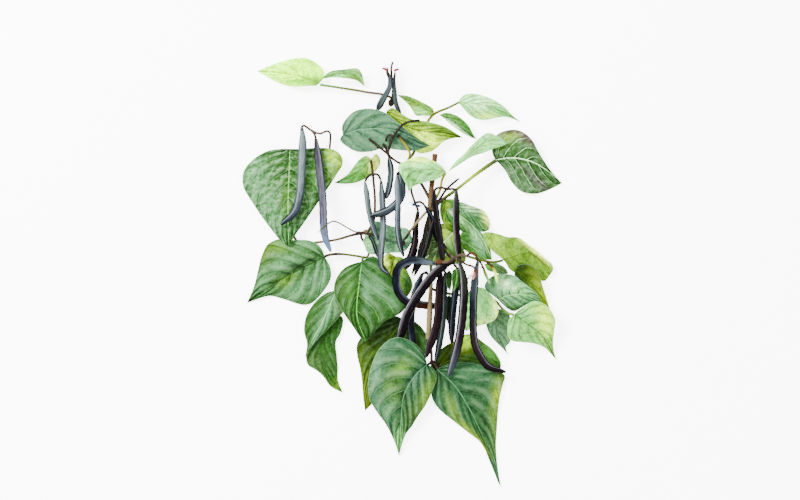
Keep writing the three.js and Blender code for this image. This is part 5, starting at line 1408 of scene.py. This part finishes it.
def blade_faces(rows, wide):
    """Faces of the upper side, the lower side and the rim of a blade."""
    count = (rows - 1) * wide + 2
    last = count - 1 - wide
    top = grid_faces(rows - 1, wide, 1)
    top += [(0, step + 2, step + 1) for step in range(wide - 1)]
    top += [(count - 1, last + step, last + step + 1) for step in range(wide - 1)]
    top = [face[::-1] for face in top]
    bottom = [tuple(corner + count for corner in face[::-1]) for face in top]
    near_rim = [1 + row * wide for row in range(rows - 1)]
    far_rim = [(row + 1) * wide for row in reversed(range(rows - 1))]
    rim = [0, *near_rim, count - 1, *far_rim]
    walls = [(corner, corner + count, following + count, following)
             for corner, following in zip(rim, rim[1:] + rim[:1])]
    return top + bottom + walls


def blade_skin(name):
    """A thin closed blade with quilting between its side veins, a groove over its rib and a wavy
    margin that thins out."""
    blade = BLADES[name]
    finish, base, vein, veins, relief, patches = LEAF_PAINT[name]
    start, end = blade["rib"][0], blade["rib"][-1]
    rib_length = curve_through(blade["rib"], [0, 1])[1]
    rows = max(BLADE_FEWEST, int(rib_length / BLADE_STEP))
    along = np.arange(1, rows) / rows
    rib = curve_through(blade["rib"], along ** RIB_EASE)[0]
    left = curve_through([start[:2], *blade["left"], end[:2]], along)[0]
    right = curve_through([start[:2], *blade["right"], end[:2]], along)[0]
    widest = np.linalg.norm((np.vstack([left, right]) - np.vstack([rib, rib]))[:, :2], axis=1).max()
    columns = max(BLADE_FEWEST // 2, int(widest / BLADE_STEP))
    across = np.arange(-columns, columns + 1) / columns
    share = np.abs(across)[None]
    edge = np.where((across < 0)[None, :, None], right[:, None], left[:, None]) - rib[:, None]
    middle = rib[:, None] + edge * share[:, :, None]
    full_reach = np.linalg.norm(edge[:, :, :2], axis=2)
    reach = full_reach * share
    phase = (along[:, None] - VEIN_SLANT * share) * (veins + 1)
    fade = np.clip(share / QUILT_FADE, 0, 1) * np.clip((1 - share) / QUILT_FADE, 0, 1)
    swell = np.sin(np.pi * (phase - np.floor(phase))) ** QUILT_ROUNDING
    quilt = sizes().quilt_height / MM * relief * swell * fade
    groove = RIB_GROOVE * np.exp(-(reach / RIB_GROOVE_WIDTH) ** 2)
    waves = np.sin(along * MARGIN_WAVES * 2 * np.pi + len(name) * WAVE_SHIFT)[:, None]
    wave = sizes().margin_wave / MM * waves * share ** WAVE_POWER * np.sign(across)[None]
    rise = np.where(across < 0, blade["rise"][1], blade["rise"][0])[None]
    height = rib[:, None, 2] + rise * reach + quilt - groove + wave
    half = sizes().blade_thickness / MM / 2
    thin = half * (1 - (1 - RIM_SHARE) * share ** RIM_POWER) * np.ones_like(height)
    middle[:, :, 2] = np.maximum(height, thin)
    ends = np.array([start, end], float)
    ends[:, 2] = np.maximum(ends[:, 2], half * RIM_SHARE)
    flat = np.vstack([ends[:1], middle.reshape(-1, 3), ends[1:]])
    thickness = np.concatenate([[half * RIM_SHARE], thin.ravel(), [half * RIM_SHARE]])
    lift = thickness[:, None] * np.array([0, 0, 1])
    signed_reach = reach * np.sign(across)[None]
    carried = {
        "across_mm": [0, *signed_reach.ravel(), 0],
        "margin_mm": [0, *(full_reach - reach).ravel(), 0],
        "vein_phase": [0, *phase.ravel(), veins + 1],
    }
    tint = blade_paint(flat, base, patches)
    under = tint + (colour("mint_pale") - tint) * UNDERSIDE_PALENESS
    skin = Skin()
    skin.add(np.vstack([flat + lift, flat - lift]), blade_faces(rows, len(across)),
             tint=np.vstack([tint, under]), vein_tint=colour(vein),
             vein_pitch_mm=rib_length / (veins + 1) * VEIN_CROWDING, relief=relief,
             **{key: np.tile(value, 2) for key, value in carried.items()})
    return skin, finish


def tube(skin, line, shares, wide, high, tint, sides, **values):
    """A closed tube round a curve, with a width and a height at each share of its length."""
    centres, length = curve_through(line, shares)
    ahead = curve_through(line, np.minimum(shares + CURVE_NUDGE, 1))[0]
    behind = curve_through(line, np.maximum(shares - CURVE_NUDGE, 0))[0]
    sideways, upwards = axes_along(ahead - behind)[1:]
    turns = turns_round(sides)
    rings = (centres[:, None] + sideways[:, None] * (wide[:, None] * np.cos(turns))[:, :, None]
             + upwards[:, None] * (high[:, None] * np.sin(turns))[:, :, None])
    points = np.vstack([rings.reshape(-1, 3), centres[:1], centres[-1:]])
    each = [*np.repeat(np.arange(len(shares)), sides), 0, len(shares) - 1]
    skin.add(points, ring_faces(len(shares), sides), tint=tint[each],
             along_mm=(shares * length)[each],
             side=[*np.tile(np.cos(turns), len(shares)), 0, 0],
             above=[*np.tile(np.sin(turns), len(shares)), 1, 1], **values)


def pod_width(along, neck):
    """Share of the full width: a pod swells over its neck, keeps its width and narrows to the beak."""
    swell = np.minimum(1, POD_NECK_SHARE + (1 - POD_NECK_SHARE) * along / neck)
    narrow = np.minimum(1, np.sqrt(np.maximum(0, 1 - along) * POD_BEAK_FALL) + POD_BEAK_SHARE)
    return swell * narrow


def pod_skin(name):
    """A pod with slight swellings over its seeds, a rounded neck and a drawn-out beak."""
    pod = PODS[name]
    finish, stops, streak_side, streak = POD_PAINT[name]
    length = curve_through(pod["line"], [0, 1])[1]
    body = np.linspace(0, 1 - POD_CUT, int(length / POD_STEP))
    shares = np.concatenate([body, 1 - POD_CUT * np.array(BEAK_STEPS)])
    wide = pod["half"] * pod_width(shares, pod.get("neck", POD_NECK))
    middle = np.clip(np.minimum(shares, 1 - shares) / SEEDLESS_END, 0, 1)
    wide = wide * (1 + SEED_SWELL * middle * np.sin(shares * length / SEED_PITCH * 2 * np.pi))
    wide[-1] *= POD_TIP_SHARE
    skin = Skin()
    tube(skin, pod["line"], shares, wide, wide * sizes().pod_flatness, colours_along(stops, shares),
         POD_SIDES, streak_side=streak_side, streak=streak)
    return skin, finish


def stem_skin():
    """All stems, stalks and petioles, with bark on those that are neither threads nor stout."""
    skin = Skin()
    for name, line in STEMS.items():
        centres = [point[:3] for point in line]
        length = curve_through(centres, [0, 1])[1]
        shares = np.linspace(0, 1, max(STEM_FEWEST, int(length / STEM_STEP)))
        half = np.interp(shares * (len(line) - 1), np.arange(len(line)), [point[3] for point in line])
        fast, slow = (shares * length * rate for rate in STEM_WOBBLE_RATES)
        half = half * (1 + STEM_WOBBLE * np.sin(fast) * np.sin(slow + 1))
        barked = np.clip((half - THREAD_STEM) * THREAD_FADE, 0, 1)
        barked = barked * np.clip((STOUT_STEM - half) * STOUT_FADE, 0, 1)
        half = half + BARK_THICKNESS * barked
        tube(skin, centres, shares, half, half, colours_along(STEM_PAINT[name], shares), STEM_SIDES)
    return skin


def ball(skin, centre, halves, name):
    """A small rounded bud."""
    down = np.linspace(0, np.pi, BUD_RINGS)[1:-1, None]
    turns = turns_round(BUD_SEGMENTS)
    ring = np.sin(down)
    level = np.cos(down) * np.ones_like(turns)
    unit = np.stack([ring * np.cos(turns), ring * np.sin(turns), level], axis=2).reshape(-1, 3)
    points = np.vstack([unit, [[0, 0, 1], [0, 0, -1]]]) * np.array(halves) + np.array(centre)
    faces = [face[::-1] for face in ring_faces(BUD_RINGS - 2, BUD_SEGMENTS)]
    skin.add(points, faces, tint=colour(name))


def calyx(skin, pod, name):
    """The toothed cup that holds the top of a pod."""
    start = np.array(pod["line"][0], float)
    inward = curve_through(pod["line"], [CALYX_AIM])[0] - start
    ahead, sideways, upwards = (axis[0] for axis in axes_along(inward))
    fit = pod["half"] * POD_NECK_SHARE * CALYX_FIT / CALYX_RINGS[-1][1]
    turns = turns_round(CALYX_SIDES)
    teeth = CALYX_TOOTH * np.abs(np.sin(turns * CALYX_TEETH / 2))
    rings = []
    for distance, radius in CALYX_RINGS:
        reach = np.full(CALYX_SIDES, distance, float)
        if distance == CALYX_RINGS[-1][0]:
            reach += teeth
        around = max(radius * fit, CALYX_LEAST) * CALYX_LOOSENESS
        rings.append(start + np.outer(reach, ahead) + np.outer(around * np.cos(turns), sideways)
                     + np.outer(around * np.sin(turns), upwards))
    closing = [start + ahead * CALYX_RINGS[end][0] for end in (0, -1)]
    skin.add(np.vstack([*rings, closing]), ring_faces(len(CALYX_RINGS), CALYX_SIDES),
             tint=colour(name))


class BEAN_OT_leaflets(bpy.types.Operator):
    """Build the thin leaflets with their veins, quilting and painted tints."""

    bl_idname = "bean.leaflets"
    bl_label = "Leaflets"

    def execute(self, context):
        finishes = {name: leaf_finish(name, *values) for name, values in LEAF_FINISHES.items()}
        for name in BLADES:
            skin, finish = blade_skin(name)
            piece = skin.piece(f"{name}_blade", finishes[finish])
            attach(piece, "root")
            if name not in SMALL_LEAVES:
                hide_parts(name)
        return {"FINISHED"}


class BEAN_OT_pods(bpy.types.Operator):
    """Build the slim pods with raised seam lines painted as highlights, seed swellings and beaks."""

    bl_idname = "bean.pods"
    bl_label = "Pods"

    def execute(self, context):
        finishes = {name: pod_finish(name, *values) for name, values in POD_FINISHES.items()}
        for name in PODS:
            skin, finish = pod_skin(name)
            piece = skin.piece(f"{name}_skin", finishes[finish])
            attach(piece, "root")
            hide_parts(name)
        return {"FINISHED"}


class BEAN_OT_vine(bpy.types.Operator):
    """Build the main stem, branches, petioles and stalks as one vine."""

    bl_idname = "bean.vine"
    bl_label = "Vine"

    def execute(self, context):
        piece = stem_skin().piece("vine_bark", stem_finish("stem_bark"))
        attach(piece, "root")
        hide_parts("vine_stem")
        return {"FINISHED"}


class BEAN_OT_buds(bpy.types.Operator):
    """Build the calyxes, buds and dried flower remnants."""

    bl_idname = "bean.buds"
    bl_label = "Calyxes and buds"

    def execute(self, context):
        skin = Skin()
        for x, y, z, wide, deep, high, name in BUDS:
            ball(skin, (x, y, z), (wide, deep, high), name)
        for name, pod in PODS.items():
            calyx(skin, pod, CALYX_COLOURS[POD_PAINT[name][0]])
        piece = skin.piece("calyxes_and_buds", plain_finish("dry_calyx"))
        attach(piece, "root")
        return {"FINISHED"}


def panel_light(name, place, size, power):
    """A soft square lamp that points at the spray's middle."""
    lamp = bpy.data.lights.new(name, "AREA")
    lamp.shape = "SQUARE"
    lamp.size = size
    lamp.energy = power
    holder = bpy.data.objects.new(name, lamp)
    holder.location = place
    holder.rotation_euler = (-Vector(place)).to_track_quat("-Z", "Y").to_euler()
    bpy.context.scene.collection.objects.link(holder)


class BEAN_OT_stage(bpy.types.Operator):
    """Lay the pale floor, set the soft lamps and hang the camera over the spray."""

    bl_idname = "bean.stage"
    bl_label = "Stage"

    def execute(self, context):
        corners = [(x * FLOOR_HALF, y * FLOOR_HALF, 0) for x, y in ((-1, -1), (1, -1), (1, 1), (-1, 1))]
        mesh = bpy.data.meshes.new("floor")
        mesh.from_pydata(corners, [], [(0, 1, 2, 3)])
        mesh.materials.append(floor_finish())
        floor = bpy.data.objects.new("floor", mesh)
        context.scene.collection.objects.link(floor)
        for lamp in LAMPS:
            panel_light(*lamp)
        world = bpy.data.worlds.new("soft_room")
        world.use_nodes = True
        room = world.node_tree.nodes["Background"].inputs
        room["Color"].default_value = (1, 1, 1, 1)
        room["Strength"].default_value = ROOM_LIGHT
        context.scene.world = world
        camera = bpy.data.objects.new("camera", bpy.data.cameras.new("camera"))
        camera.data.lens = LENS
        camera.data.sensor_width = SENSOR
        camera.data.clip_end = VIEW_END
        camera.location = (shift_x, shift_y, VIEW_WIDTH * LENS / SENSOR)
        context.scene.collection.objects.link(camera)
        context.scene.camera = camera
        return {"FINISHED"}


class BEAN_PT_panel(bpy.types.Panel):
    """Sizes, colours and the steps that build the spray."""

    bl_label = "Bean spray"
    bl_idname = "BEAN_PT_panel"
    bl_space_type = "VIEW_3D"
    bl_region_type = "UI"
    bl_category = "Bean spray"

    def draw(self, context):
        for step in STEPS:
            self.layout.operator(step.bl_idname)
        for group in (context.scene.bean_spray_sizes, context.scene.bean_spray_colours):
            box = self.layout.box()
            for name in group.__annotations__:
                box.prop(group, name)


STEPS = (BEAN_OT_stage, BEAN_OT_leaflets, BEAN_OT_pods, BEAN_OT_vine, BEAN_OT_buds)
CLASSES = (BeanSprayColours, BeanSpraySizes, *STEPS, BEAN_PT_panel)


def register():
    for kind in CLASSES:
        bpy.utils.register_class(kind)
    bpy.types.Scene.bean_spray_colours = bpy.props.PointerProperty(type=BeanSprayColours)
    bpy.types.Scene.bean_spray_sizes = bpy.props.PointerProperty(type=BeanSpraySizes)


def unregister():
    del bpy.types.Scene.bean_spray_sizes
    del bpy.types.Scene.bean_spray_colours
    for kind in reversed(CLASSES):
        bpy.utils.unregister_class(kind)


def main():
    """Builds every piece."""
    register()
    bpy.ops.bean.stage()
    bpy.ops.bean.leaflets()
    bpy.ops.bean.pods()
    bpy.ops.bean.vine()
    bpy.ops.bean.buds()


if __name__ == "__main__":
    main()
